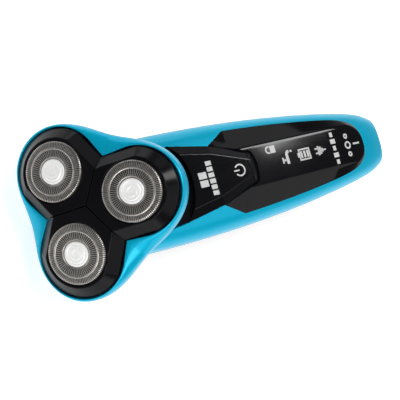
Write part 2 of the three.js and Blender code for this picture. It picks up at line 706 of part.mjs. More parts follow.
// ---------------------------------------------------------------- gears
// The gears run about axes along the neck, and each crosses its guard's axis at the key.
const gearPitch = LOBE_PITCH - KEY_DEPTH * Math.tan(LOBE_TILT);
const toothModule = (2 * gearPitch) / (CENTRE_TEETH + LOBE_TEETH);
const tipR = (teeth) => (toothModule * teeth) / 2 + 0.9 * toothModule;

// Each flank runs straight between the root and the tip of an involute.
function gearOutline(teeth) {
  const pitch = (toothModule * teeth) / 2;
  const base = pitch * Math.cos(20 * DEG);
  const backlash = 0.16;
  const involute = (r) => {
    const t = Math.acos(Math.min(1, base / r));
    return Math.tan(t) - t;
  };
  const half = (r) =>
    Math.PI / (2 * teeth) + involute(pitch) - involute(r) - backlash / (2 * pitch);
  const radii = [pitch - 1.15 * toothModule, tipR(teeth)];
  const at = (r, a) => [r * Math.cos(a), r * Math.sin(a)];
  return Array.from({ length: teeth }, (_, k) => (k / teeth) * 2 * Math.PI).flatMap((c) => [
    ...radii.map((r) => at(r, c - half(r))),
    ...radii.toReversed().map((r) => at(r, c + half(r))),
  ]);
}

// The turn that brings a lobe gear into mesh with the centre gear, for a lobe at this angle.
function meshPhase(angle) {
  const tooth = (2 * Math.PI) / CENTRE_TEETH;
  const offset = angle - Math.round(angle / tooth) * tooth;
  const facing = LOBE_TEETH % 2 ? 0 : Math.PI / LOBE_TEETH;
  return facing + (offset * CENTRE_TEETH) / LOBE_TEETH;
}

const centreGear = prism(gearOutline(CENTRE_TEETH), -GEAR_DEPTH - GEAR_THICK, -GEAR_DEPTH)
  .add(rod(CUP_R, -PIVOT_DEPTH - 1.7, -GEAR_DEPTH - GEAR_THICK + 0.5))
  .subtract(rod(BALL_R + 0.4, -60, -PIVOT_DEPTH + 2.6))
  .subtract(block(-9, 9, -CROSS_PIN_R - 0.35, CROSS_PIN_R + 0.35, -60, -PIVOT_DEPTH + 1.1));
add(head, "centre_gear", centreGear, FINISH.white);

// A hub reaches up from each lobe gear, with a flat key that fits loosely in the cutter's slot.
function lobeGear() {
  const [kx, ky] = KEY_HALF;
  return prism(gearOutline(LOBE_TEETH), -GEAR_DEPTH - GEAR_THICK, -GEAR_DEPTH)
    .add(rod(2.6, -GEAR_DEPTH - 0.5, -GEAR_HUB, 0, 0, 16))
    .add(block(-kx, kx, -ky, ky, -GEAR_HUB - 0.3, -KEY_TOP))
    .subtract(rod(1.35, -60, -GEAR_DEPTH + 1.3, 0, 0, 12));
}

// ---------------------------------------------------------------- gear tray and cover
const trayPeak = gearPitch + tipR(LOBE_TEETH) + 3 * RUN + TRAY_WALL;
const trayValley = valleyR - TRAY_VALLEY_ROOM;
const trayOutline = (inset) =>
  Array.from({ length: 36 }, (_, i) => {
    const a = (i / 36) * 2 * Math.PI;
    const r = (trayPeak + trayValley + (trayPeak - trayValley) * Math.cos(3 * a)) / 2 - inset;
    return [r * Math.cos(a), r * Math.sin(a)];
  });
const hubFoot = PIVOT_DEPTH + 1.0;
const lobeAngles = [0, 2 * SEAM, 4 * SEAM];
let tray = prism(trayOutline(0), -TRAY_FOOT, -GEAR_DEPTH + 0.2)
  .subtract(prism(trayOutline(TRAY_WALL), -TRAY_DEPTH, 0))
  .intersect(insideShell(SHELL_WALL + 2 * RUN))
  .add(rod(hubR, -hubFoot, -TRAY_DEPTH - 0.5))
  .subtract(rod(hubBore, -hubFoot - 1, -TRAY_FOOT))
  .subtract(rod(SPIGOT_R + 0.7, -60, 0))
  .subtract(bar("x", STUB_R + 0.25, 60, 0, 0, -PIVOT_DEPTH, 12));
for (const a of lobeAngles) {
  const axle = rod(1.2, -TRAY_DEPTH - 0.5, -GEAR_DEPTH + 1.0, gearPitch, 0, 12);
  tray = tray.add(moved(axle, spin(a)));
}
add(head, "gear_tray", tray, FINISH.satin);

const lugHalf = 1.2;
const earHalf = 2.6;
const hingeHole = (gap) => bar("y", PIN_R + gap, 40, HINGE_R, 0, -HINGE_DEPTH, 12);
let cover = prism(trayOutline(0), -COVER_DEPTH - COVER_THICK, -COVER_DEPTH);
for (const a of lobeAngles) {
  const ear = block(
    HINGE_R - lugHalf,
    HINGE_R + lugHalf,
    -earHalf,
    earHalf,
    -COVER_DEPTH - 0.5,
    -HINGE_DEPTH + 1.1,
  );
  cover = cover
    .add(moved(ear, spin(a)))
    .subtract(moved(rod(4.9, -60, 0, gearPitch), spin(a)))
    .subtract(moved(hingeHole(0.05), spin(a)));
}
add(head, "gear_cover", cover, FINISH.satin);

// ---------------------------------------------------------------- lobes, drawn about the guard
function lobeOutline(inset) {
  const r = LOBE_R - inset;
  const valley = [LOBE_PITCH * Math.cos(SEAM) - LOBE_PITCH, LOBE_PITCH * Math.sin(SEAM) - inset];
  const toValley = Math.atan2(valley[1], valley[0]);
  const touch = toValley - Math.acos(Math.min(1, r / Math.hypot(...valley)));
  const steps = 12;
  const arc = Array.from({ length: steps + 1 }, (_, i) => {
    const a = touch - (2 * touch * i) / steps;
    return [r * Math.cos(a), r * Math.sin(a)];
  });
  const inward = -LOBE_PITCH - 4;
  const upper = [[inward, valley[1] - 0.02], valley];
  return [...upper, ...arc, ...upper.map(([x, y]) => [x, -y]).reverse()].reverse();
}

// The space between two seams, less half the gap between the lobes.
function wedge(gap) {
  const start = gap / Math.sin(SEAM);
  const far = 120;
  const [dx, dy] = [far * Math.cos(SEAM), far * Math.sin(SEAM)];
  return prism(
    [
      [start, 0],
      [start + dx, -dy],
      [start + dx, dy],
    ],
    -60,
    60,
  );
}

const toLobe = shift(LOBE_PITCH, 0, 0).multiply(new THREE.Matrix4().makeRotationY(LOBE_TILT));
function lobeCover() {
  const ceiling = -PLATEAU - LOBE_WALL - 0.3;
  const sleeveFoot = -RETAINER_FOOT - 2 * RUN;
  const skin = bevelled(lobeOutline(0), -LOBE_FOOT, -PLATEAU, FLANK, FLANK_DROP);
  const sleeve = rod(SLEEVE_R + SLEEVE_WALL, sleeveFoot, ceiling + 0.2, 0, 0, 28);
  const room = bevelled(lobeOutline(LOBE_WALL), -LOBE_FOOT - 1, ceiling, FLANK, FLANK_DROP);
  const bore = rod(SKIRT_R + 0.4, -60, 5, 0, 0, 28);
  const sleeveBore = rod(SLEEVE_R, -RETAINER_FOOT - RUN, ceiling, 0, 0, 28);
  const hollow = rod(SLEEVE_R, -60, ceiling, 0, 0, 28);
  const lug = (y) =>
    block(
      HINGE_R - lugHalf,
      HINGE_R + lugHalf,
      y - 0.9,
      y + 0.9,
      -HINGE_DEPTH - 1.1,
      -RETAINER_TOP + 0.9,
    );
  const lugY = earHalf + RUN + 1.0;
  return moved(skin.subtract(room.subtract(sleeve)).subtract(bore).subtract(hollow), toLobe)
    .intersect(wedge(0.22))
    .add(lug(lugY))
    .add(lug(-lugY))
    .subtract(moved(sleeveBore, toLobe))
    .subtract(hingeHole(0.12));
}

// Cutter guard: a plate with a skirt and a flange, and a shallow seat for the centre cap.
const seatR = CAP_R + 0.4;
const guardProfile = [
  [0, -GUARD.plate - 0.6],
  [seatR + 0.1, -GUARD.plate - 0.6],
  [seatR + 0.4, -GUARD.plate],
  [SKIRT_R - GUARD.wall, -GUARD.plate],
  [SKIRT_R - GUARD.wall, -GUARD.skirt],
  [FLANGE_R, -GUARD.skirt],
  [FLANGE_R, -GUARD.skirt + GUARD.flangeThick],
  [SKIRT_R, -GUARD.skirt + GUARD.flangeThick],
  [SKIRT_R, -0.5],
  [FOIL_R - 0.6, 0],
  [seatR + 0.3, 0],
  [seatR, -GUARD.plate - 0.1],
  [0, -GUARD.plate - 0.1],
];
const capProfile = [
  [0, -GUARD.plate],
  [CAP_R, -GUARD.plate],
  [CAP_R, 0],
  [CAP_R - 0.3, 0.25],
  [0, 0.25],
];

// Cutter wheel: a disc with upright blades round it and a slotted hub below.
function cutterWheel() {
  const discFoot = WHEEL.disc + WHEEL.thick;
  const [kx, ky] = KEY_HALF.map((half) => half + KEY_SLACK);
  let wheel = turned(
    [
      [WHEEL.hubR - 0.1, -discFoot],
      [WHEEL_R, -discFoot],
      [WHEEL_R, -WHEEL.disc],
      [WHEEL.hubR - 0.1, -WHEEL.disc],
    ],
    24,
  ).add(rod(WHEEL.hubR, -WHEEL.foot, -1.9, 0, 0, 20));
  const blade = block(WHEEL.bladeR, WHEEL_R - 0.1, -0.3, 0.3, -WHEEL.disc - 0.2, -GUARD.plate - 0.25);
  for (let k = 0; k < WHEEL.blades; k++)
    wheel = wheel.add(moved(blade, spin((k / WHEEL.blades) * 2 * Math.PI)));
  return wheel.subtract(block(-kx, kx, -ky, ky, -WHEEL.foot - 1, -2.6));
}

const retainer = turned([
  [WHEEL_R + 0.7, -RETAINER_FOOT],
  [SLEEVE_R - RUN, -RETAINER_FOOT],
  [SLEEVE_R - RUN, -RETAINER_TOP],
  [WHEEL_R + 0.7, -RETAINER_TOP],
]);

// A coil spring round the cutter's hub, from the gear's face to the cutter's underside.
function cutterSpring() {
  const [wire, turns, perTurn] = [0.28, 3, 10];
  const r = WHEEL.hubR + 0.85;
  const z0 = -GEAR_DEPTH + wire + 0.07;
  const z1 = -WHEEL.disc - WHEEL.thick - wire - 0.57;
  const steps = turns * perTurn;
  const points = Array.from({ length: steps + 1 }, (_, i) => {
    const a = (i / perTurn) * 2 * Math.PI;
    return new THREE.Vector3(r * Math.cos(a), r * Math.sin(a), z0 + ((z1 - z0) * i) / steps);
  });
  const round = new THREE.Shape(
    Array.from({ length: 5 }, (_, k) => {
      const a = (k / 5) * 2 * Math.PI;
      return new THREE.Vector2(wire * Math.cos(a), wire * Math.sin(a));
    }),
  );
  const extrudePath = new THREE.CatmullRomCurve3(points);
  return solid(new THREE.ExtrudeGeometry(round, { steps, extrudePath }));
}

lobeAngles.forEach((angle, i) => {
  const n = i + 1;
  const sector = new THREE.Group();
  sector.rotation.z = angle;
  head.add(sector);
  const lobe = new THREE.Group();
  lobe.position.x = LOBE_PITCH;
  lobe.rotation.y = LOBE_TILT;
  sector.add(lobe);
  const drive = new THREE.Group();
  drive.position.x = gearPitch;
  drive.rotation.z = meshPhase(angle);
  sector.add(drive);
  add(sector, `lobe_cover_${n}`, lobeCover(), FINISH.gloss);
  const pin = bar("y", PIN_R, 10, HINGE_R, 0, -HINGE_DEPTH, 12);
  add(sector, `lobe_hinge_pin_${n}`, pin, FINISH.steel);
  add(lobe, `cutter_guard_${n}`, turned(guardProfile), FINISH.steel);
  add(lobe, `centre_cap_${n}`, turned(capProfile, 24), FINISH.bright);
  const wheel = add(lobe, `cutter_wheel_${n}`, cutterWheel(), FINISH.steel);
  wheel.rotation.z = drive.rotation.z;
  add(lobe, `guard_retainer_${n}`, retainer, FINISH.satin);
  add(drive, `lobe_gear_${n}`, lobeGear(), FINISH.white);
  add(drive, `cutter_spring_${n}`, cutterSpring(), FINISH.steel);
});

export default shaver;
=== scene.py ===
"""An electric shaver with three floating round cutters, lying on its back on a pale table.

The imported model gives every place: the joints give the shaving face, the neck axis and the guards'
axes. Shapes are worked out in millimetres in the "face frame", which has its origin at the centre
of the shaving face and the front panel on z = 0, or in a frame turned with the head or a lobe.
"""
import json
import math

import bmesh
import bpy
import numpy as np
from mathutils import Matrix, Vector


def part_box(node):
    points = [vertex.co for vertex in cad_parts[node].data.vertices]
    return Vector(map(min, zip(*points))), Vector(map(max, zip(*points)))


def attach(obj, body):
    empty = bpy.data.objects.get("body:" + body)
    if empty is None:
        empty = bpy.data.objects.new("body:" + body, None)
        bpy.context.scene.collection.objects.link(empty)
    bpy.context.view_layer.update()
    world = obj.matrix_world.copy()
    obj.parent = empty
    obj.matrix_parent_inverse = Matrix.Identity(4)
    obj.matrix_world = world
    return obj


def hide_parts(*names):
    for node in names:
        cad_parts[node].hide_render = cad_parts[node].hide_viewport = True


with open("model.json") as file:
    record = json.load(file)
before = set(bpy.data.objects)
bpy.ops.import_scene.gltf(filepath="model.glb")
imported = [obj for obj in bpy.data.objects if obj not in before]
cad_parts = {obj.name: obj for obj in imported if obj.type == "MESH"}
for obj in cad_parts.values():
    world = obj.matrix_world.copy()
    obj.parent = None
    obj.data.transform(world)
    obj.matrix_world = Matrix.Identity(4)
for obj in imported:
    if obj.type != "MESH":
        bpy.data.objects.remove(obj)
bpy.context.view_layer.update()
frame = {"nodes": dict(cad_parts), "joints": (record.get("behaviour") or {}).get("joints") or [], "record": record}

# ------------------------------------------------------------------ camera, table and light
# The shaver lies on a plain pale table under one soft overhead light, with weaker soft boxes at
# its sides and behind the camera. The camera looks down on the head, from its side of the neck.
MM = 0.001
joints = {j["name"]: j for j in frame["joints"]}


def spot(name):
    """The point on a joint's axis, in metres."""
    return np.array(joints[name]["pos_m"])


LOBES = (1, 2, 3)
FACE = sum(spot(f"cutter_{n}_spin") for n in LOBES) / len(LOBES)

camera_data = bpy.data.cameras.new("camera")
camera_data.lens = 117.0
camera_data.sensor_width = 36.0
camera_data.clip_start = 0.01
camera = bpy.data.objects.new("camera", camera_data)
camera.location = FACE + np.array((-0.2031, -0.0457, 0.4261))
camera.rotation_euler = [math.radians(a) for a in (13.44, -27.81, -18.49)]
bpy.context.scene.collection.objects.link(camera)
bpy.context.scene.camera = camera
bpy.context.scene.view_settings.view_transform = "Standard"


def soft_box(name, direction, distance, size, radiance):
    """A rectangular area light facing the object, set by the brightness of its surface."""
    light = bpy.data.lights.new(name, "AREA")
    light.shape = "RECTANGLE"
    light.size, light.size_y = size
    light.energy = radiance * math.pi * size[0] * size[1]
    obj = bpy.data.objects.new(name, light)
    aim = Vector(direction).normalized()
    obj.location = aim * distance
    obj.rotation_mode = "QUATERNION"
    obj.rotation_quaternion = aim.to_track_quat("Z", "Y")
    bpy.context.scene.collection.objects.link(obj)


soft_box("overhead", (0.06, 0.16, 0.98), 0.9, (0.36, 0.44), 6.5)
soft_box("near_side", (0.52, -0.50, 0.69), 1.0, (0.9, 0.55), 0.9)
soft_box("far_side", (0.36, 0.72, 0.59), 1.0, (0.6, 0.25), 0.7)
soft_box("flank_glint", (0.60, 0.23, 0.77), 1.0, (0.22, 0.22), 14.0)
soft_box("camera_fill", (-0.55, -0.50, 0.67), 1.3, (0.7, 0.7), 5.0)
soft_box("low_left", (-0.20, -0.97, 0.14), 1.0, (0.9, 0.25), 1.7)
soft_box("low_right", (0.10, 0.97, 0.20), 1.0, (0.9, 0.25), 1.7)


def studio_world():
    """Bright near the horizon and dim overhead, so that gloss black stays black."""
    world = bpy.data.worlds.new("studio")
    world.use_nodes = True
    tree = world.node_tree
    back = tree.nodes["Background"]
    coords = tree.nodes.new("ShaderNodeTexCoord")
    split = tree.nodes.new("ShaderNodeSeparateXYZ")
    ramp = tree.nodes.new("ShaderNodeValToRGB")
    ramp.color_ramp.elements[0].position = 0.02
    ramp.color_ramp.elements[0].color = (0.45, 0.46, 0.48, 1)
    ramp.color_ramp.elements[1].position = 0.3
    ramp.color_ramp.elements[1].color = (0.08, 0.082, 0.085, 1)
    tree.links.new(coords.outputs["Generated"], split.inputs[0])
    tree.links.new(split.outputs["Z"], ramp.inputs[0])
    tree.links.new(ramp.outputs["Color"], back.inputs["Color"])
    bpy.context.scene.world = world


studio_world()


def shader(name, base, roughness, metallic=0.0):
    """A new material and its Principled shader."""
    made = bpy.data.materials.new(name)
    made.use_nodes = True
    tree = made.node_tree
    node = tree.nodes["Principled BSDF"]
    node.inputs["Base Color"].default_value = (*base, 1)
    node.inputs["Roughness"].default_value = roughness
    node.inputs["Metallic"].default_value = metallic
    return made, tree, node


def noise(tree, scale, detail=3.0, stretch=(1, 1, 1)):
    """A noise texture on object coordinates, in cells per metre, and stretched along an axis."""
    coords = tree.nodes.new("ShaderNodeTexCoord")
    mapping = tree.nodes.new("ShaderNodeMapping")
    mapping.inputs["Scale"].default_value = stretch
    texture = tree.nodes.new("ShaderNodeTexNoise")
    texture.inputs["Scale"].default_value = scale
    texture.inputs["Detail"].default_value = detail
    tree.links.new(coords.outputs["Object"], mapping.inputs[0])
    tree.links.new(mapping.outputs[0], texture.inputs["Vector"])
    return texture.outputs["Fac"]


def spread(tree, value, low, high, socket):
    """Carries a 0 to 1 value to a socket as low to high."""
    node = tree.nodes.new("ShaderNodeMapRange")
    node.inputs["To Min"].default_value = low
    node.inputs["To Max"].default_value = high
    tree.links.new(value, node.inputs["Value"])
    tree.links.new(node.outputs["Result"], socket)


table_mesh = bpy.data.meshes.new("table")
TABLE_HALF = 4.0
corners = [(x * TABLE_HALF, y * TABLE_HALF, 0) for x, y in ((-1, -1), (1, -1), (1, 1), (-1, 1))]
table_mesh.from_pydata(corners, [], [(0, 1, 2, 3)])
table = bpy.data.objects.new("table", table_mesh)
pale, pale_tree, pale_shader = shader("pale_table", (0.86, 0.86, 0.86), 0.6)
pale_shader.inputs["Emission Color"].default_value = (1, 1, 1, 1)
pale_shader.inputs["Emission Strength"].default_value = 0.5
spread(pale_tree, noise(pale_tree, 60), 0.55, 0.65, pale_shader.inputs["Roughness"])
table_mesh.materials.append(pale)
bpy.context.scene.collection.objects.link(table)

# ------------------------------------------------------------------ handle shells
# Two moulded shells make the handle. The front one is ABS with a metallic blue lacquer, open for
# the display panel and the button; the rear one is satin black, screwed to it from behind.
TAIL_X = (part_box("front_shell")[1].x - FACE[0]) / MM
HANDLE_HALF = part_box("front_shell")[1].y / MM
HANDLE_DEEP = (FACE[2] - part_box("rear_shell")[0].z) / MM
PIVOT_DEPTH = float(np.linalg.norm(FACE - spot("head_nod"))) / MM
NECK_AXIS = np.array(joints["motor_spin"]["axis"])
HEAD_SIN, HEAD_COS = -NECK_AXIS[0], NECK_AXIS[2]
NECK_FACE = PIVOT_DEPTH + 4.5  # depth of the outer face of the plate at the neck
NECK_PLATE = 1.8
WIDEST_Z = -13.0
PARTING = 1.5  # the shells part this far below the widest line
FRONT_POWER, BACK_POWER = 2.7, 2.4
TAIL_ROUND = 1.3
WAIST_X, WAIST_IN = 35.0, 2.2
TAPER, TAIL_SWEEP = 0.463, 0.12  # shares of the half width that the taper and its rounded end take
CROWN_RUN, CROWN_FALL = 33.0, 7.1
BACK_RUN, BACK_RISE = 50.0, 8.0
HEEL_X, HEEL_RUN, HEEL_RISE = 24.0, 38.0, 13.0
SEAT, RUN = 0.15, 0.3  # gaps round a seated piece and round a moving one
WELD = 2e-6  # metres within which grid points are one


def half_width(x):
    """Half the handle's width: a waist by a square towards the neck, and a taper by two powers, the
    higher one rounding it off at the tail."""
    near = np.clip((WAIST_X - x) / WAIST_X, 0, None)
    far = np.clip((x - WAIST_X) / (TAIL_X - WAIST_X), 0, None)
    return HANDLE_HALF - WAIST_IN * near**2 - HANDLE_HALF * (TAPER * far**2.15 + TAIL_SWEEP * far**24)


def crown(x):
    """Height of the front's middle line: level, then down by a power at the tail."""
    return -CROWN_FALL * np.clip((x - TAIL_X + CROWN_RUN) / CROWN_RUN, 0, None) ** 2.2


def back(x):
    """Height of the back's middle line: level, rising by powers towards the tail and the neck."""
    tail = BACK_RISE * np.clip((x - TAIL_X + BACK_RUN) / BACK_RUN, 0, None) ** 2.2
    neck = HEEL_RISE * np.clip((HEEL_X - x) / HEEL_RUN, 0, None) ** 2
    return -HANDLE_DEEP + tail + neck


def section(x, a, inset=0.0):
    """A point of the section at x: two half superellipses, squarer in front of the widest line."""
    c, s = np.cos(a), np.sin(a)
    power = np.where(s > 0, 2 / FRONT_POWER, 2 / BACK_POWER)
    up = crown(x) - inset - WIDEST_Z
    down = WIDEST_Z - back(x) - inset
    y = (half_width(x) - inset) * np.sign(c) * np.abs(c) ** power
    z = WIDEST_Z + np.where(s > 0, up, -down) * np.abs(s) ** power
    return np.stack([x + 0 * y, y, z], -1)


def front_height(x, y):
    """Height of the front surface over a point: the upper superellipse solved for z."""
    across = np.clip(np.abs(y) / half_width(x), 0, 1)
    return WIDEST_Z + (crown(x) - WIDEST_Z) * (1 - across**FRONT_POWER) ** (1 / FRONT_POWER)


def neck_x(a, depth):
    """Where a line along the handle meets a plane at a depth below the shaving face, by halving."""
    low, high = np.full(np.shape(a), -14.0), np.full(np.shape(a), 60.0)
    for _ in range(40):
        middle = (low + high) / 2
        z = section(middle, a)[..., 2]
        beyond = HEAD_SIN * middle - HEAD_COS * z > depth
        low, high = np.where(beyond, low, middle), np.where(beyond, middle, high)
    return (low + high) / 2


SHELL_START = NECK_FACE + NECK_PLATE + SEAT
inlet_low, inlet_high = [(np.array(c) - FACE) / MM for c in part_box("charge_socket")]
INLET_HALF = (inlet_high[1] - inlet_low[1]) / 2
INLET_TOP, INLET_FOOT = inlet_high[2] - WIDEST_Z, WIDEST_Z - inlet_low[2]


def handle_skin(a, m):
    """The handle's skin: m from 0 to 1 runs from the neck plane to the tail, to 1.5 round the
    tail's edge by a quarter circle, and to 2 across its flat end to the charging inlet."""
    start = neck_x(a, SHELL_START)
    end = TAIL_X - TAIL_ROUND
    q = np.clip(m - 1, 0, 0.5) * math.pi
    x = start + (end - start) * np.clip(m, 0, 1) + TAIL_ROUND * np.sin(q)
    points = section(x, a, TAIL_ROUND * (1 - np.cos(q)))
    y, z = points[..., 1], points[..., 2] - WIDEST_Z
    reach_z = np.where(z > 0, INLET_TOP, INLET_FOOT)
    edge = (np.abs(y / INLET_HALF) ** 6 + np.abs(z / reach_z) ** 6) ** (-1 / 6)
    share = 1 + (np.clip(edge, 0, 1) - 1) * np.clip(2 * m - 3, 0, 1)
    return np.stack([x, y * share, WIDEST_Z + z * share], -1)


def parting_angle(m):
    """The section angle of the parting line on the +y side, found by a few substitutions."""
    a = np.full(np.shape(m), -0.05)
    for _ in range(12):
        z = WIDEST_Z - handle_skin(a, m)[..., 2]
        shrink = PARTING / np.clip(z, 1e-3, None)
        a = -np.arcsin(np.clip(np.abs(np.sin(a)) * shrink ** (BACK_POWER / 2), 0, 1))
    return a


def grid_mesh(name, points, place, inside, rows_close=False, columns_close=False, open_cells=None):
    """Quads over a grid of points, carried to metres by place, with its doubles merged and its
    faces turned away from the point inside."""
    rows, columns = points.shape[:2]
    r, c = np.meshgrid(np.arange(rows - (not rows_close)), np.arange(columns - (not columns_close)),
                       indexing="ij")
    r1, c1 = (r + 1) % rows, (c + 1) % columns
    quads = np.stack([r * columns + c, r1 * columns + c, r1 * columns + c1, r * columns + c1], -1)
    quads = quads.reshape(-1, 4) if open_cells is None else quads[~open_cells]
    mesh = bpy.data.meshes.new(name)
    mesh.from_pydata(place(points.reshape(-1, 3)).tolist(), [], quads.tolist())
    work = bmesh.new()
    work.from_mesh(mesh)
    bmesh.ops.remove_doubles(work, verts=work.verts, dist=WELD)
    bmesh.ops.recalc_face_normals(work, faces=work.faces)
    loose = [v for v in work.verts if not v.link_faces]
    bmesh.ops.delete(work, geom=loose, context="VERTS")
    middle = Vector(place(np.array([inside], float))[0])
    facing = sum(f.calc_area() * f.normal.dot(f.calc_center_median() - middle) for f in work.faces)
    if facing < 0:
        bmesh.ops.reverse_faces(work, faces=work.faces)
    work.to_mesh(mesh)
    work.free()
    return mesh


def piece(mesh, body, finish, replaces=(), wall=0.0, sharp=35.0):
    """Links a mesh as a named piece with its body and finish, and gives it a wall inwards."""
    obj = bpy.data.objects.new(mesh.name, mesh)
    bpy.context.scene.collection.objects.link(obj)
    if wall:
        solidify = obj.modifiers.new("wall", "SOLIDIFY")
        solidify.thickness = wall * MM
        solidify.offset = -1
        solidify.use_even_offset = False
        graph = bpy.context.evaluated_depsgraph_get()
        walled = bpy.data.meshes.new_from_object(obj.evaluated_get(graph))
        obj.modifiers.clear()
        obj.data = walled
        walled.name = mesh.name
    obj.data.materials.clear()
    obj.data.materials.append(finish)
    obj.data.shade_smooth()
    obj.data.set_sharp_from_angle(angle=math.radians(sharp))
    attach(obj, body)
    if replaces:
        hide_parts(*replaces)
    return obj


def unit(v):
    """Vectors scaled to length 1."""
    return v / np.clip(np.linalg.norm(v, axis=-1, keepdims=True), 1e-9, None)


def rolled(points, radius, depth, inside, steps=4):
    """The grid with its last column rolled over by a quarter circle, then run straight in."""
    edge = points[:, -1]
    along = unit(np.gradient(edge, axis=0))
    across = unit(edge - points[:, -2])
    normal = unit(np.cross(along, across))
    outward = np.sign(np.sum(normal * (edge - np.array(inside)), axis=-1, keepdims=True))
    normal = normal * outward
    across = unit(across - along * np.sum(along * across, -1, keepdims=True))
    turns = [math.pi / 2 * (k + 1) / steps for k in range(steps)]
    ring = [edge + radius * (math.sin(q) * across - (1 - math.cos(q)) * normal) for q in turns]
    ring.append(ring[-1] - depth * normal)
    return np.concatenate([points, np.stack(ring, 1)], 1)


def face_place(p):
    """Face frame in millimetres to metres."""
    return FACE + p * MM


def tint(tree, value, dark, light, socket):
    """Carries a 0 to 1 value to a colour socket as a mix of two colours."""
    ramp = tree.nodes.new("ShaderNodeValToRGB")
    ramp.color_ramp.elements[0].position = 0.3
    ramp.color_ramp.elements[0].color = (*dark, 1)
    ramp.color_ramp.elements[1].position = 0.7
    ramp.color_ramp.elements[1].color = (*light, 1)
    tree.links.new(value, ramp.inputs[0])
    tree.links.new(ramp.outputs["Color"], socket)


def relief(tree, value, height, shader_node):
    """Turns a 0 to 1 value into a bump of a height in metres."""
    bump = tree.nodes.new("ShaderNodeBump")
    bump.inputs["Distance"].default_value = height
    tree.links.new(value, bump.inputs["Height"])
    tree.links.new(bump.outputs["Normal"], shader_node.inputs["Normal"])


def lacquer():
    """Metallic blue lacquer: fine flakes of two tones, an uneven gloss, and a clear coat over a
    little orange peel."""
    made, tree, node = shader("blue_lacquer", (0.0, 0.40, 0.58), 0.36, 0.35)
    node.inputs["Specular IOR Level"].default_value = 0.12
    node.inputs["Coat Weight"].default_value = 0.2
    node.inputs["Coat Roughness"].default_value = 0.1
    flakes = noise(tree, 5200, 1)
    tint(tree, flakes, (0.0, 0.37, 0.56), (0.0, 0.46, 0.70), node.inputs["Base Color"])
    spread(tree, noise(tree, 45), 0.32, 0.42, node.inputs["Roughness"])
    relief(tree, noise(tree, 420), 0.000012, node)
    return made


def satin():
    """Black moulded plastic with a fine spark-eroded grain."""
    made, tree, node = shader("satin_black", (0.018, 0.018, 0.02), 0.42)
    drift = noise(tree, 70)
    tint(tree, drift, (0.013, 0.013, 0.015), (0.022, 0.022, 0.024), node.inputs["Base Color"])
    spread(tree, noise(tree, 300), 0.36, 0.5, node.inputs["Roughness"])
    relief(tree, noise(tree, 2600), 0.00003, node)
    return made


blue_lacquer = lacquer()
satin_black = satin()
HANDLE_MIDDLE = (70.0, 0.0, -16.0)


ROOT_X, ROOT_HALF = 34.0, 16.0
BEND_X, BEND_HALF = 57.0, 11.9
TIP_X, TIP_HALF, TIP_LONG = 72.6, 6.7, 3.6
TONGUE_END = 76.2


def tongue_half(x):
    """Half the button's width: two straight tapers, then a superelliptic tip."""
    first = ROOT_HALF - (ROOT_HALF - BEND_HALF) * (x - ROOT_X) / (BEND_X - ROOT_X)
    second = BEND_HALF - (BEND_HALF - TIP_HALF) * (x - BEND_X) / (TIP_X - BEND_X)
    tip = TIP_HALF * (1 - np.clip((x - TIP_X) / TIP_LONG, 0, 1) ** 2.6) ** (1 / 2.2)
    return np.where(x < BEND_X, first, np.where(x < TIP_X, second, tip))


def soft_ramp(t, blend):
    """0 below 0 and t above it, with a parabola of a width between the two."""
    return np.where(t < -blend, 0, np.where(t > blend, t, (t + blend) ** 2 / (4 * blend)))


RIM = 4.6  # width of the blue rim beside the panel
PANEL_START, PANEL_WIDE, PANEL_END = 57.2, 66.4, TAIL_X - 12.9


def panel_half(x):
    """Half the panel's width: a straight shoulder, then the rim's line, closing at the tail."""
    v = np.clip((x - PANEL_WIDE) / (PANEL_END - PANEL_WIDE), 0, 1)
    full = (half_width(x) - RIM) * (1 - v**16) ** (1 / 2.4)
    wide = half_width(np.float64(PANEL_WIDE)) - RIM
    slope = (wide - BEND_HALF) / (PANEL_WIDE - PANEL_START)
    shoulder = BEND_HALF + slope * (x - PANEL_START)
    return full - soft_ramp(full - shoulder, 0.5)


SHOULDER_U, SIDE_U, NOSE_U = 0.2, 0.28, 0.72  # where the opening's edge changes its line
NOSE = 4  # length of the panel's round end


def opening_edge(u):
    """The front shell's opening: beside the button, along the shoulder, down the panel's side and
    across its nose, as u runs from 0 at the neck to 1 at the tail's middle line."""
    start = float(neck_x(np.array(1.0), SHELL_START))
    turns = [start, PANEL_START, PANEL_WIDE, PANEL_END - NOSE]
    x = np.interp(u, [0, SHOULDER_U, SIDE_U, NOSE_U], turns)
    q = np.clip((u - NOSE_U) / (1 - NOSE_U), 0, 1) * math.pi / 2
    x = np.where(u > NOSE_U, PANEL_END - NOSE + NOSE * np.sin(q) ** 0.7, x)
    y = np.where(x < PANEL_START, tongue_half(x) + RUN, panel_half(x) + SEAT)
    return x, np.where(u >= 1, 0.0, y)


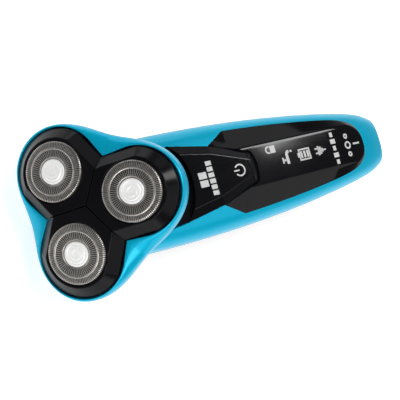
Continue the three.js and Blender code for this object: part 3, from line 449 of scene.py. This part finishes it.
def front_shell_grid():
    """Lines from the opening's edge to the parting line, or to the inlet at the tail, straight in
    the skin's own parameters."""
    u = np.concatenate([np.linspace(0, SHOULDER_U, 24)[:-1],
                        np.linspace(SHOULDER_U, SIDE_U, 12)[:-1],
                        np.linspace(SIDE_U, NOSE_U, 70)[:-1], np.linspace(NOSE_U, 1, 60)])
    x, y = opening_edge(u)
    inner_a = np.arccos(np.clip(y / half_width(x), 0, 1) ** (FRONT_POWER / 2))
    start = neck_x(inner_a, SHELL_START)
    inner_m = np.clip((x - start) / (TAIL_X - TAIL_ROUND - start), 0, 1)
    inner_m[0] = 0
    inlet_u = 0.92
    outer_m = np.interp(u, [0, SHOULDER_U, SIDE_U, NOSE_U, 0.86, inlet_u], [0, 0.31, 0.39, 0.9, 1, 2])
    outer_a = parting_angle(outer_m)
    turn = np.clip((u - inlet_u) / (1 - inlet_u), 0, 1)
    outer_a = outer_a + (math.pi / 2 - outer_a) * turn
    v = np.linspace(0, 1, 44)[None, :]
    a = inner_a[:, None] * (1 - v) + outer_a[:, None] * v
    m = inner_m[:, None] * (1 - v) + outer_m[:, None] * v
    return handle_skin(a, m)


front = front_shell_grid()
front = rolled(front, 0.25, 1.0, HANDLE_MIDDLE)
front = rolled(front[:, ::-1], 0.3, 1.6, HANDLE_MIDDLE)[:, ::-1]
mirror = np.array([1.0, -1.0, 1.0])
front[-1, :, 1] = 0.0
front = np.concatenate([front, front[-2::-1] * mirror], 0)
piece(grid_mesh("blue_front_shell", front, face_place, HANDLE_MIDDLE), "handle", blue_lacquer,
      ["front_shell"], wall=0.28)


def rear_shell_grid():
    """Lines across the back from one parting line to the other, at stations from neck to tail."""
    m = np.concatenate([np.linspace(0, 1, 150)[:-1], np.linspace(1, 1.5, 8)[:-1],
                        np.linspace(1.5, 2, 10)])
    left = parting_angle(m) - SEAT / 20
    v = np.linspace(0, 1, 120)
    a = left[:, None] + (-math.pi - 2 * left[:, None]) * v[None, :]
    return handle_skin(a, m[:, None] + 0 * a)


rear = rear_shell_grid()
rear = rolled(rear, 0.25, 1.0, HANDLE_MIDDLE)
rear = rolled(rear[:, ::-1], 0.25, 1.0, HANDLE_MIDDLE)[:, ::-1]
rear_mesh = grid_mesh("black_rear_shell", rear, face_place, HANDLE_MIDDLE)
rear_piece = piece(rear_mesh, "handle", satin_black, ["rear_shell"], wall=1.2)


def rod_mesh(name, centres, radius, low, high, sides=48):
    """Upright cylinders in one mesh, each a closed grid of two end points and two circles."""
    angle = np.linspace(0, 2 * math.pi, sides, endpoint=False)
    work = bmesh.new()
    for x, y in centres:
        r, z = np.array([(0, low), (radius, low), (radius, high), (0, high)]).T[..., None]
        points = np.stack([x + r * np.cos(angle), y + r * np.sin(angle), z + 0 * angle], -1)
        part = grid_mesh(name, points, face_place, (x, y, (low + high) / 2), columns_close=True)
        work.from_mesh(part)
        bpy.data.meshes.remove(part)
    mesh = bpy.data.meshes.new(name)
    work.to_mesh(mesh)
    work.free()
    return mesh


screws = [n for n in frame["nodes"] if n.startswith("shell_screw")]
screw_boxes = [[(np.array(c) - FACE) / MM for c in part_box(n)] for n in screws]
screw_centres = [tuple((low + high)[:2] / 2) for low, high in screw_boxes]
screw_half = (screw_boxes[0][1][0] - screw_boxes[0][0][0]) / 2
WELL_FOOT, WELL_TOP = -60.0, -18.0
rods = rod_mesh("well_cutter", screw_centres, screw_half + RUN, WELL_FOOT, WELL_TOP)
cutter = bpy.data.objects.new("well_cutter", rods)
bpy.context.scene.collection.objects.link(cutter)
cut = rear_piece.modifiers.new("screw_wells", "BOOLEAN")
cut.object = cutter
cut.operation = "DIFFERENCE"
graph = bpy.context.evaluated_depsgraph_get()
drilled = bpy.data.meshes.new_from_object(rear_piece.evaluated_get(graph))
rear_piece.modifiers.clear()
rear_piece.data = drilled
bpy.data.objects.remove(cutter)

# ------------------------------------------------------------------ display panel
# One piece of black acrylic lies flush in the shell. Its middle strip is flat and its two sides
# slope down to the blue rim, and it is notched for the button.
STRIP_HALF = 8.0
CREASE = 0.7  # half the width over which the strip bends into a facet
NOTCH_TURN = 72.0  # where the stations begin to crowd towards the notch's round end
PANEL_MIDDLE = (90.0, 0.0, -12.0)


def panel_height(x, y):
    """The flat strip, then a plane facet on each side down to the shell's surface at the rim."""
    edge = panel_half(x)
    strip = np.minimum(STRIP_HALF, 0.8 * edge)
    fall = crown(x) - front_height(x, edge)
    slope = fall / np.clip(edge - strip, 1e-3, None)
    return crown(x) - slope * soft_ramp(np.abs(y) - strip, CREASE * np.clip(edge / 10, 0.05, 1))


def panel_grid():
    """Stations along the panel, and shares of the way from the notch to the panel's edge."""
    notch_end, nose = TONGUE_END + RUN, 6
    quarter = np.linspace(0, math.pi / 2, 40)
    ends = 1 - np.cos(np.linspace(0, math.pi / 2, 60))
    x = np.concatenate([np.linspace(PANEL_START, NOTCH_TURN, 50)[:-1],
                        NOTCH_TURN + (notch_end - NOTCH_TURN) * np.sin(quarter),
                        np.linspace(notch_end, PANEL_END - nose, 120)[1:-1],
                        PANEL_END - nose * ends[::-1]])
    x = x[:, None]
    notch = np.where(x < notch_end, tongue_half(x) + RUN, 0.0)
    notch = np.where(x > TONGUE_END, np.sqrt(np.clip(notch_end - x, 0, None)) * 1.2, notch)
    t = np.linspace(0, 1, 40)[None, :]
    y = notch + t * np.clip(panel_half(x) - notch, 0, None)
    return np.stack([x + 0 * y, y, panel_height(x, y)], -1)


def gloss(name, low, high, shine):
    """Black gloss plastic: a polished finish with a few faint smears from wiping."""
    made, tree, node = shader(name, (0.004, 0.004, 0.005), low)
    node.inputs["Specular IOR Level"].default_value = shine
    smear = noise(tree, 55, 4, (1, 3, 1))
    spread(tree, smear, low, high, node.inputs["Roughness"])
    drift = noise(tree, 30)
    tint(tree, drift, (0.003, 0.003, 0.004), (0.006, 0.006, 0.007), node.inputs["Base Color"])
    return made


gloss_black = gloss("gloss_black", 0.04, 0.11, 0.26)
half = rolled(panel_grid(), 0.2, 1.0, PANEL_MIDDLE)
inner_wall = half[:, :1] + np.array([0, 0, -1.2])
half = np.concatenate([inner_wall, half], 1)
whole = np.concatenate([half[:, ::-1] * mirror, half], 1)
seam = np.zeros((whole.shape[0] - 1, whole.shape[1] - 1), bool)
seam[:, half.shape[1] - 1] = True
past_notch = half[:-1, 0, 0] >= TONGUE_END + RUN
seam[past_notch, half.shape[1] - 2] = True
seam[past_notch, half.shape[1]] = True
piece(grid_mesh("display_window", whole, face_place, PANEL_MIDDLE, open_cells=seam), "handle",
      gloss_black, ["display_panel"], wall=0.18)

# ------------------------------------------------------------------ power button
# A black tongue with a wide bevel, raised above the panel. It rocks about a pin at its neck end,
# where a round well in its top leaves room for the swivelling head.
TONGUE_RISE, TONGUE_FOOT = 1.7, -0.7
BEVEL = 3.6
WELL_R, WELL_Z = 32.0, -0.6
TONGUE_ROOT = 31.9
SIDE_DEPTH = 2.2  # how far the button's sides go below the panel


def well_x(y, z):
    """Where the round well about the neck axis meets the line at y and z."""
    return (np.sqrt(WELL_R**2 - y**2) - HEAD_SIN * z) / HEAD_COS


def tongue_height(x, y):
    """Height by the distance to the outline: a straight bevel, then the flat top, softly joined."""
    quarter = np.linspace(0, math.pi / 2, 200)
    line_x = np.concatenate([np.linspace(20, TIP_X, 300), TIP_X + TIP_LONG * np.sin(quarter)])
    line_y = tongue_half(line_x)
    flat = np.stack([x.ravel(), np.abs(y).ravel()], -1)
    apart = np.hypot(flat[:, :1] - line_x[None], flat[:, 1:] - line_y[None]).min(1).reshape(x.shape)
    share = apart / BEVEL
    rise = share - soft_ramp(share - 1, 0.05)
    return TONGUE_FOOT + (TONGUE_RISE - TONGUE_FOOT) * np.clip(rise, 0, 1)


def tongue_grid():
    """Stations from the well's edge to the tip and shares of the half width, with the well's wall
    and floor in front of them and the outer side below them."""
    along = np.sin(np.linspace(0, math.pi / 2, 150)) ** 0.8
    t = np.linspace(-1, 1, 121)
    x = np.outer(along, 0 * t) + 40.0
    for _ in range(12):
        y = t[None, :] * tongue_half(x)
        start = well_x(np.clip(np.abs(y), 0, 20), TONGUE_RISE)
        x = start + (TONGUE_END - start) * along[:, None]
    y = t[None, :] * tongue_half(x)
    top = np.stack([x, y, tongue_height(x, y)], -1)
    lip = top[:1]
    under = lip[..., 2:] - WELL_Z
    foot = np.concatenate([lip[..., :1] + under * HEAD_SIN / HEAD_COS * 0.6, lip[..., 1:2],
                           0 * under + WELL_Z], -1)
    root = np.concatenate([0 * under + TONGUE_ROOT, lip[..., 1:2], 0 * under + WELL_Z], -1)
    bottom = root - np.array([0, 0, 1.6])
    soft = lip + np.array([-0.06, 0, -0.12])
    whole_top = np.concatenate([bottom, root, foot, soft, top], 0)
    edges = (whole_top[:, :1], whole_top[:, -1:])
    sides = [np.concatenate([e[..., :2], 0 * e[..., 2:] - SIDE_DEPTH], -1) for e in edges]
    return np.concatenate([sides[0], whole_top, sides[1]], 1)


tongue = tongue_grid()
piece(grid_mesh("power_tongue", tongue, face_place, (58.0, 0.0, -8.0)), "button", gloss_black,
      ["power_button"], wall=0.3)

# ------------------------------------------------------------------ printed marks
# White screen-printed marks show what the lamps behind the panel mean, and the power sign is on
# the button. Rows of short bars and circles stand where a maker would print a name.
INK = 0.04  # thickness of the ink


def stroke(points, width, closed=False):
    """A ribbon along a line: each point moved to both sides by half the width."""
    line = np.array(points, float)
    if closed:
        ahead, behind = np.roll(line, -1, 0), np.roll(line, 1, 0)
    else:
        ahead = np.concatenate([line[1:], line[-1:] * 2 - line[-2:-1]])
        behind = np.concatenate([line[:1] * 2 - line[1:2], line[:-1]])
    first, second = unit(line - behind), unit(ahead - line)
    side = np.stack([-(first + second)[:, 1], (first + second)[:, 0]], -1)
    reach = width / 2 / np.clip((side * side).sum(-1, keepdims=True) / 2, 0.6, None)
    pair = np.stack([line + side * reach, line - side * reach], 1)
    return np.concatenate([pair, pair[:1]], 0) if closed else pair


def arc(cx, cy, r, start, stop, steps=28):
    """Points of a circle's arc, between two angles in degrees."""
    angle = np.radians(np.linspace(start, stop, steps))
    return np.stack([cx + r * np.cos(angle), cy + r * np.sin(angle)], -1)


def marks(name, ribbons, height, body, finish):
    """Each ribbon is drawn with +u across the handle and +w towards the head, at its place."""
    work = bmesh.new()
    for cx, cy, ribbon in ribbons:
        x, y = cx - ribbon[..., 1], cy + ribbon[..., 0]
        points = np.stack([x, y, height(x, y) + INK], -1)
        part = grid_mesh(name, points, face_place, (cx, cy, -50.0))
        work.from_mesh(part)
        bpy.data.meshes.remove(part)
    mesh = bpy.data.meshes.new(name)
    work.to_mesh(mesh)
    work.free()
    return piece(mesh, body, finish, wall=INK)


def ink():
    """White printing ink, a little uneven."""
    made, tree, node = shader("printing_ink", (0.55, 0.55, 0.54), 0.5)
    tint(tree, noise(tree, 1500), (0.46, 0.46, 0.45), (0.62, 0.62, 0.61), node.inputs["Base Color"])
    relief(tree, noise(tree, 3000), 0.00001, node)
    return made


printing_ink = ink()
LINE = 0.62
lock_sign = [stroke([(-1.5, -1.3), (1.5, -1.3)], 2.5), stroke(arc(0, 0.6, 1.25, 200, -20), LINE)]
tap_sign = [stroke([(-2.4, -0.1), (1.3, -0.1)], 1.3),
            stroke(arc(1.3, -1.35, 1.25, 90, -5, 12), 1.2),
            stroke([(-0.7, 0.7), (-0.7, 1.9)], 0.8), stroke([(-1.9, 2.1), (0.5, 2.1)], 0.7),
            stroke([(2.5, -2.0), (2.5, -2.9)], 0.8)]
cell_sign = [stroke([(-2.1, -2.7), (2.1, -2.7), (2.1, 2.3), (-2.1, 2.3)], LINE, True),
             stroke([(-0.9, 2.95), (0.9, 2.95)], 0.7)]
cell_sign += [stroke([(-1.4, w), (1.4, w)], 0.95) for w in (-1.7, -0.2, 1.3)]
plug_sign = [stroke([(-1.9, 0.75), (1.9, 0.75)], 0.8), stroke([(-1.5, 0.0), (1.5, 0.0)], 1.3),
             stroke([(-0.8, -0.95), (0.8, -0.95)], 1.1), stroke([(0, -1.4), (0, -2.9)], 0.6),
             stroke([(-0.95, 1.1), (-0.95, 2.4)], 0.65), stroke([(0.95, 1.1), (0.95, 2.4)], 0.65)]


def middle(node):
    """A node's middle along the handle, in the face frame."""
    low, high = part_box(node)
    return ((low.x + high.x) / 2 - FACE[0]) / MM


lock_x, tap_x, cell_x, plug_x = [middle(f"indicator_lamp_{n}") + 0.7 for n in (1, 2, 3, 4)]
printed = [(lock_x, 5.0, r) for r in lock_sign] + [(tap_x, 0.2, r) for r in tap_sign]
printed += [(cell_x, 0.2, r) for r in cell_sign] + [(plug_x, 0.2, r) for r in plug_sign]
NAME_ROW, CODE_ROW, LAST_MARK = TAIL_X - 29.7, TAIL_X - 22.4, TAIL_X - 17.5
for k, y in enumerate(np.linspace(-6.0, 5.4, 5)):
    printed.append((NAME_ROW, y, stroke([(-0.95, 0), (0.95, 0)], 1.5 + 1.0 * (k % 2))))
for k, y in enumerate((-4.0, -0.2, 3.6)):
    printed.append((CODE_ROW, y, stroke(arc(0, 0, 1.3 if k == 1 else 0.75, 0, 345), 0.7, True)))
printed.append((LAST_MARK, -0.1, stroke([(0, -1.9), (0, 1.9)], 0.75)))
marks("panel_marks", printed, panel_height, "handle", printing_ink)
power_sign = [stroke(arc(0, 0, 2.2, 125, 415, 48), 0.6), stroke([(0, 0.2), (0, 2.7)], 0.6)]
button_print = [(middle("switch_plunger") - 0.9, -0.3, r) for r in power_sign]
for x, count, pitch, tall in ((49.6, 2, 3.2, 3.6), (53.5, 6, 2.35, 2.6)):
    for k in range(count):
        y = -0.8 + (k - (count - 1) / 2) * pitch
        button_print.append((x, y, stroke([(0.3 - pitch / 2, 0), (pitch / 2 - 0.3, 0)], tall)))
marks("button_marks", button_print, lambda x, y: TONGUE_RISE + 0 * x, "button", printing_ink)

# ------------------------------------------------------------------ head shell
# The head's shell is a three-lobed bowl with the same blue lacquer as the handle. Its upper lip
# runs round the lobe covers, and its lower part draws in to a round foot over the neck.
head_turn = np.array([[HEAD_COS, 0, -HEAD_SIN], [0, 1, 0], [HEAD_SIN, 0, HEAD_COS]])
LOBE_PITCH = float(np.linalg.norm(spot("cutter_1_spin") - FACE)) / MM
LOBE_R = 16.5
SEAM = math.radians(60)
LIP_GAP = 0.4
PEAK_R, VALLEY_R = LOBE_PITCH + LOBE_R + 1.6, LOBE_PITCH + 8.6
LIP_DEPTH, LIP_FALL, WAIST_DEPTH, TUCK_DEPTH = 5.2, 1.6, 9.2, 10.4
FOOT_R, FOOT_DEPTH = 15.2, PIVOT_DEPTH + 0.5


def head_place(p):
    """Head frame in millimetres to metres."""
    return FACE + (p @ head_turn.T) * MM


def lobe_edge(angle):
    """The lobe covers' outline: round each lobe's end, then straight to the valley."""
    a = np.arccos(np.clip(np.cos(3 * angle), -1, 1)) / 3
    touch = math.radians(120) - math.acos(LOBE_R / LOBE_PITCH)
    tx, ty = LOBE_PITCH + LOBE_R * math.cos(touch), LOBE_R * math.sin(touch)
    vx, vy = LOBE_PITCH * math.cos(SEAM), LOBE_PITCH * math.sin(SEAM)
    inside = np.clip(LOBE_R**2 - (LOBE_PITCH * np.sin(a)) ** 2, 0, None)
    round_end = LOBE_PITCH * np.cos(a) + np.sqrt(inside)
    dx, dy = tx - vx, ty - vy
    straight = (vx * dy - vy * dx) / (np.cos(a) * dy - np.sin(a) * dx)
    return np.where(a <= math.atan2(ty, tx), round_end, straight)


def trefoil(angle):
    """The shell's widest line: a mean radius with a wave of three lobes on it."""
    return (PEAK_R + VALLEY_R) / 2 + (PEAK_R - VALLEY_R) / 2 * np.cos(3 * angle)


def head_shell_grid():
    """For each angle a closed profile: up the inner lip, over a rolled edge, out to the waist by a
    quarter ellipse, in to the foot by a superellipse, and back up inside."""
    angle = np.linspace(0, 2 * math.pi, 720, endpoint=False)[:, None]
    lip, wide = lobe_edge(angle) + LIP_GAP, trefoil(angle)
    depth = LIP_DEPTH + LIP_FALL * (1 + np.cos(3 * angle)) / 2
    roll = 0.3
    q = np.linspace(0, math.pi / 2, 6)[None, :]
    r = [lip + 0 * q[:, :2], lip + roll - roll * np.cos(q)]
    z = [-depth - np.array([[3.2, 1.5]]), -depth - roll + roll * np.sin(q)]
    q = np.linspace(0.02, math.pi / 2, 34)[None, :]
    r.append(lip + roll + (wide - lip - roll) * np.sin(q))
    z.append(-depth - (WAIST_DEPTH - depth) * (1 - np.cos(q)))
    q = np.linspace(0, math.pi / 2, 34)[None, :]
    r.append(FOOT_R + (wide - FOOT_R) * np.cos(q) ** 0.8)
    z.append(-TUCK_DEPTH - (FOOT_DEPTH - TUCK_DEPTH) * np.sin(q) ** 0.8)
    back_q = np.linspace(math.pi / 2, 0.2, 14)[None, :]
    r.append(FOOT_R - 1 + (wide - FOOT_R - 0.7) * np.cos(back_q) ** 0.8)
    z.append(-TUCK_DEPTH - (FOOT_DEPTH - 1.7 - TUCK_DEPTH) * np.sin(back_q) ** 0.8)
    r = np.concatenate(r, 1)
    z = np.concatenate([row + 0 * angle for row in z], 1)
    return np.stack([r * np.cos(angle), r * np.sin(angle), z], -1)


piece(grid_mesh("blue_head_shell", head_shell_grid(), head_place, (0, 0, -40), rows_close=True,
                columns_close=True), "head", blue_lacquer, ["head_shell"])

# ------------------------------------------------------------------ lobe covers
# Three gloss black covers meet at straight seams in the middle of the head. Each is flat round its
# guard and slopes down to its outer edge, and leans a little outwards with the guard.
PLATEAU = 0.9
FLANK, FLANK_DROP = 3.8, 4.2
SEAM_GAP = 0.22
COVER_FOOT = 6.5
BORE_R, BORE_ROLL = 11.75, 0.25
EDGE_ROLL = 0.18
COVER_WALL = 1.4


def lobe_frame(n):
    """The lobe's own directions: out of its guard, across it, and away from the head's centre."""
    origin = spot(f"cutter_{n}_spin")
    out = np.array(joints[f"cutter_{n}_spin"]["axis"])
    across = np.cross(NECK_AXIS, unit(origin - FACE))
    return origin, np.stack([np.cross(across, out), across, out], -1)


def lobe_place(n):
    """Lobe frame in millimetres to metres."""
    origin, turn = lobe_frame(n)
    return lambda p: origin + (p @ turn.T) * MM


LOBE_TILT = math.acos(float(np.clip(np.dot(lobe_frame(1)[1][:, 2], NECK_AXIS), -1, 1)))


def flank_distance(x, y):
    """How far a point is inside the lobe's outer outline: its round end, the straight line to the
    valley, or the level line past the valley."""
    valley = LOBE_PITCH * math.sin(SEAM)
    touch = math.radians(120) - math.acos(LOBE_R / LOBE_PITCH)
    nx, ny = math.cos(touch), math.sin(touch)
    y = np.abs(y)
    line = LOBE_R - (x * nx + y * ny)
    round_end = LOBE_R - np.hypot(x, y)
    beside = np.where(np.arctan2(y, x) <= touch, round_end, line)
    return np.minimum(beside, valley - y)


def cover_height(x, y):
    """The plateau, and the flank falling straight to the outline, softly joined."""
    share = 1 - flank_distance(x, y) / FLANK
    return -PLATEAU - FLANK_DROP * soft_ramp(share, 0.06)


def cover_reach(phi, z):
    """How far the cover reaches from its guard's axis in a direction, at a height: to the outline,
    or to the seam plane with the next lobe."""
    low, high = np.full(phi.shape, BORE_R), np.full(phi.shape, 30.0)
    for _ in range(40):
        middle = (low + high) / 2
        x, y = middle * np.cos(phi), middle * np.sin(phi)
        sector_x = LOBE_PITCH + x * math.cos(LOBE_TILT) + z * math.sin(LOBE_TILT)
        seam = sector_x * math.sin(SEAM) - np.abs(y) * math.cos(SEAM) - SEAM_GAP
        out = np.minimum(seam, flank_distance(x, y)) < 0
        low, high = np.where(out, low, middle), np.where(out, middle, high)
    return (low + high) / 2


def cover_grid():
    """For each direction a closed profile: up the bore, over its rolled edge, across the plateau
    and the flank, over the outer edge, down the side and back inside."""
    phi = np.linspace(-math.pi, math.pi, 720, endpoint=False)[:, None]
    reach = cover_reach(phi, -PLATEAU + 0 * phi)
    roll = EDGE_ROLL
    share = np.linspace(0, 1, 60)[None, :]
    start = BORE_R + BORE_ROLL
    r = start + (reach - roll - start) * share
    top = cover_height(r * np.cos(phi), r * np.sin(phi))
    q = np.linspace(0, math.pi / 2, 4)[None, 1:]
    edge_r = reach - roll + roll * np.sin(q)
    edge_z = top[:, -1:] - roll * (1 - np.cos(q))
    foot_reach = cover_reach(phi, -COVER_FOOT + 0 * phi)
    bore_q = np.linspace(0, math.pi / 2, 4)[None, :-1]
    bore_r = start - BORE_ROLL * np.cos(bore_q) + 0 * phi
    bore_z = top[:, :1] - BORE_ROLL * (1 - np.sin(bore_q))
    inner_r = foot_reach - COVER_WALL
    one = np.ones_like(phi)
    rows_r = [BORE_R * one, bore_r, r, edge_r, foot_reach, inner_r, inner_r]
    rows_z = [(-PLATEAU - 1.6) * one, bore_z, top, edge_z, -COVER_FOOT * one, -COVER_FOOT * one,
              top[:, -1:] - COVER_WALL]
    r, z = np.concatenate(rows_r, 1), np.concatenate(rows_z, 1)
    return np.stack([r * np.cos(phi), r * np.sin(phi), z], -1)


lobe_black = gloss("lobe_black", 0.15, 0.22, 0.11)
cover_points = cover_grid()
for n in LOBES:
    cover = grid_mesh(f"lobe_skin_{n}", cover_points, lobe_place(n), (0, 0, -3), rows_close=True,
                      columns_close=True)
    piece(cover, f"lobe_{n}", lobe_black, [f"lobe_cover_{n}"])

# ------------------------------------------------------------------ cutter guards
# Each guard is thin nickel-plated steel, pierced by two rings of radial slots: wide ones inside
# and fine ones outside that wrap over the rim. A plain ridge stands between the two rings.
CELLS = 480
INNER_SLOTS, OUTER_SLOTS = 60, 96
INNER_OPEN, OUTER_OPEN = 4, 2  # cells of each step that the slot leaves open
SLOT_FOOT = -0.85  # how far down the rim the outer slots go
INNER_RING, OUTER_START = (5.5, 8.2), 8.95
GUARD_SKIRT = 3.6


def guard_profile():
    """Radius and height from the cap's seat over both slotted rings and the ridge to the skirt."""
    seat = [(4.75, -0.62), (5.05, -0.6), (5.2, -0.12), (5.35, -0.02)]
    inner_ring = [(5.5, 0.0), (6.1, 0.04), (6.7, 0.05), (7.3, 0.05), (7.8, 0.03), (8.2, 0.0)]
    ridge = [(8.3, 0.02), (8.4, 0.07), (8.75, 0.07), (8.85, 0.02)]
    outer_ring = [(8.95, 0.0), (9.3, 0.02), (9.8, 0.03), (10.3, 0.02), (10.65, 0.0)]
    rim = [(10.9, -0.06), (11.15, -0.22), (11.3, -0.48), (11.35, -0.8), (11.35, -1.0),
           (11.35, -GUARD_SKIRT)]
    return np.array(seat + inner_ring + ridge + outer_ring + rim).T


def guard_grid():
    """The profile turned about the guard's axis, and the cells that the slots leave open."""
    r, z = guard_profile()
    phi = np.linspace(0, 2 * math.pi, CELLS, endpoint=False)[:, None]
    points = np.stack([r * np.cos(phi), r * np.sin(phi), z + 0 * phi], -1)
    middle = (r[:-1] + r[1:]) / 2
    fall = (z[:-1] + z[1:]) / 2
    cell = np.arange(CELLS)[:, None]
    inner_step, outer_step = CELLS // INNER_SLOTS, CELLS // OUTER_SLOTS
    inner = (cell % inner_step < INNER_OPEN) & (middle > INNER_RING[0]) & (middle < INNER_RING[1])
    outer = (cell % outer_step < OUTER_OPEN) & (middle > OUTER_START) & (fall > SLOT_FOOT)
    return points, inner | outer


def foil_steel():
    """Nickel-plated steel, polished in rings, warm grey, with tiny stains."""
    made, tree, node = shader("foil_steel", (0.50, 0.47, 0.44), 0.36, 1.0)
    tint(tree, noise(tree, 900), (0.41, 0.385, 0.36), (0.58, 0.55, 0.52), node.inputs["Base Color"])
    spread(tree, noise(tree, 500), 0.3, 0.45, node.inputs["Roughness"])
    relief(tree, noise(tree, 4000), 0.000015, node)
    return made


guard_steel = foil_steel()
guard_points, slots = guard_grid()
for n in LOBES:
    piece(grid_mesh(f"slotted_guard_{n}", guard_points, lobe_place(n), (0, 0, -4), rows_close=True,
                    open_cells=slots), f"guard_{n}", guard_steel, [f"cutter_guard_{n}"],
          wall=0.12, sharp=50)

# ------------------------------------------------------------------ centre caps
# A bright turned aluminium cap fills each guard's middle, with a shallow ring and three short
# raised arcs coined into its face.
CAP_R = 4.7
CAP_ROLL = 0.35  # radius by which the rim rolls over


def cap_grid():
    """A shallow dome with a groove and three arcs: each arc rises by a smooth step in radius and in
    angle, and the rim rolls over to an upright side."""
    phi = np.linspace(0, 2 * math.pi, 240, endpoint=False)[:, None]
    flat_r = CAP_R - CAP_ROLL
    quarter = np.linspace(0, math.pi / 2, 6)[1:]
    r = np.concatenate([np.linspace(0.0, flat_r, 60), flat_r + CAP_ROLL * np.sin(quarter), [CAP_R]])
    r = r[None, :]
    z = 0.3 - 0.12 * (r / CAP_R) ** 2
    z = z - 0.12 * np.exp(-(((r - 3.55) / 0.16) ** 2)) + 0.05 * np.exp(-(((r - 3.15) / 0.2) ** 2))
    turn = (3 * phi + 1.6 * r) % (2 * math.pi)
    along = np.clip((2.4 - np.abs(turn - math.pi)) / 0.5, 0, 1)
    ridge = np.exp(-(((r - 1.75) / 0.38) ** 2)) * along
    z = z + 0.1 * ridge
    over = np.clip((r - flat_r) / CAP_ROLL, 0, 1)
    z = z - 0.3 * (1 - np.sqrt(np.clip(1 - over**2, 0, 1)))
    z[:, -1] = -0.5
    return np.stack([r * np.cos(phi), r * np.sin(phi), z], -1)


def bright_turned():
    """Bright aluminium with a fine turned finish and faint handling marks."""
    made, tree, node = shader("bright_cap", (0.93, 0.93, 0.91), 0.42, 0.25)
    spread(tree, noise(tree, 700), 0.36, 0.5, node.inputs["Roughness"])
    tint(tree, noise(tree, 250), (0.88, 0.88, 0.86), (0.96, 0.96, 0.94), node.inputs["Base Color"])
    relief(tree, noise(tree, 2500), 0.00001, node)
    return made


bright_cap = bright_turned()
cap_points = cap_grid()
for n in LOBES:
    piece(grid_mesh(f"bright_cap_{n}", cap_points, lobe_place(n), (0, 0, -4), rows_close=True),
          f"guard_{n}", bright_cap, [f"centre_cap_{n}"], wall=0.2, sharp=40)

# ------------------------------------------------------------------ parts kept from the design
# and take a finish each: moulded plastic, steel, brass, board and cell sleeve. The cutter blades
# take a steel painted near black, as painted shade for the dark inside of the head.


def simple_finish(name, dark, light, roughness, metallic=0.0, grain=1200, height=0.00002):
    """A plain finish with a fine grain, a drift of tone and an uneven gloss."""
    made, tree, node = shader(name, light, roughness, metallic)
    tint(tree, noise(tree, 90), dark, light, node.inputs["Base Color"])
    spread(tree, noise(tree, 260), roughness * 0.85, roughness * 1.2, node.inputs["Roughness"])
    relief(tree, noise(tree, grain), height, node)
    return made


finishes = {
    "satin_black": satin_black,
    "gloss_black": gloss_black,
    "blue_shell": blue_lacquer,
    "bright_metal": bright_cap,
    "rubber_black": simple_finish("pad_rubber", (0.02, 0.02, 0.021), (0.03, 0.03, 0.032), 0.8),
    "steel": simple_finish("plain_steel", (0.3, 0.29, 0.28), (0.42, 0.41, 0.4), 0.34, 1.0),
    "white_plastic": simple_finish("acetal", (0.70, 0.69, 0.65), (0.79, 0.78, 0.74), 0.42),
    "brass_contact": simple_finish("plated_brass", (0.66, 0.48, 0.2), (0.8, 0.62, 0.3), 0.25, 1.0),
    "board_green": simple_finish("circuit_resist", (0.01, 0.11, 0.045), (0.02, 0.18, 0.07), 0.4),
    "battery_wrap": simple_finish("cell_sleeve", (0.04, 0.13, 0.34), (0.06, 0.19, 0.45), 0.35),
}
# Painted shade: the blades' steel is near black so that the inside of the head seen through the guards' slots
# looks shadowed.
shade_darkened_blade_steel = simple_finish("shade_darkened_blade_steel", (0.02, 0.02, 0.02), (0.05, 0.05, 0.05), 0.45, 1.0)
for part in frame["record"]["subparts"]:
    node = frame["nodes"][part["node"]]
    if not node.hide_render:
        blades = part["node"].startswith("cutter_wheel")
        node.data.materials.clear()
        node.data.materials.append(shade_darkened_blade_steel if blades else finishes[part["material_slot"]])
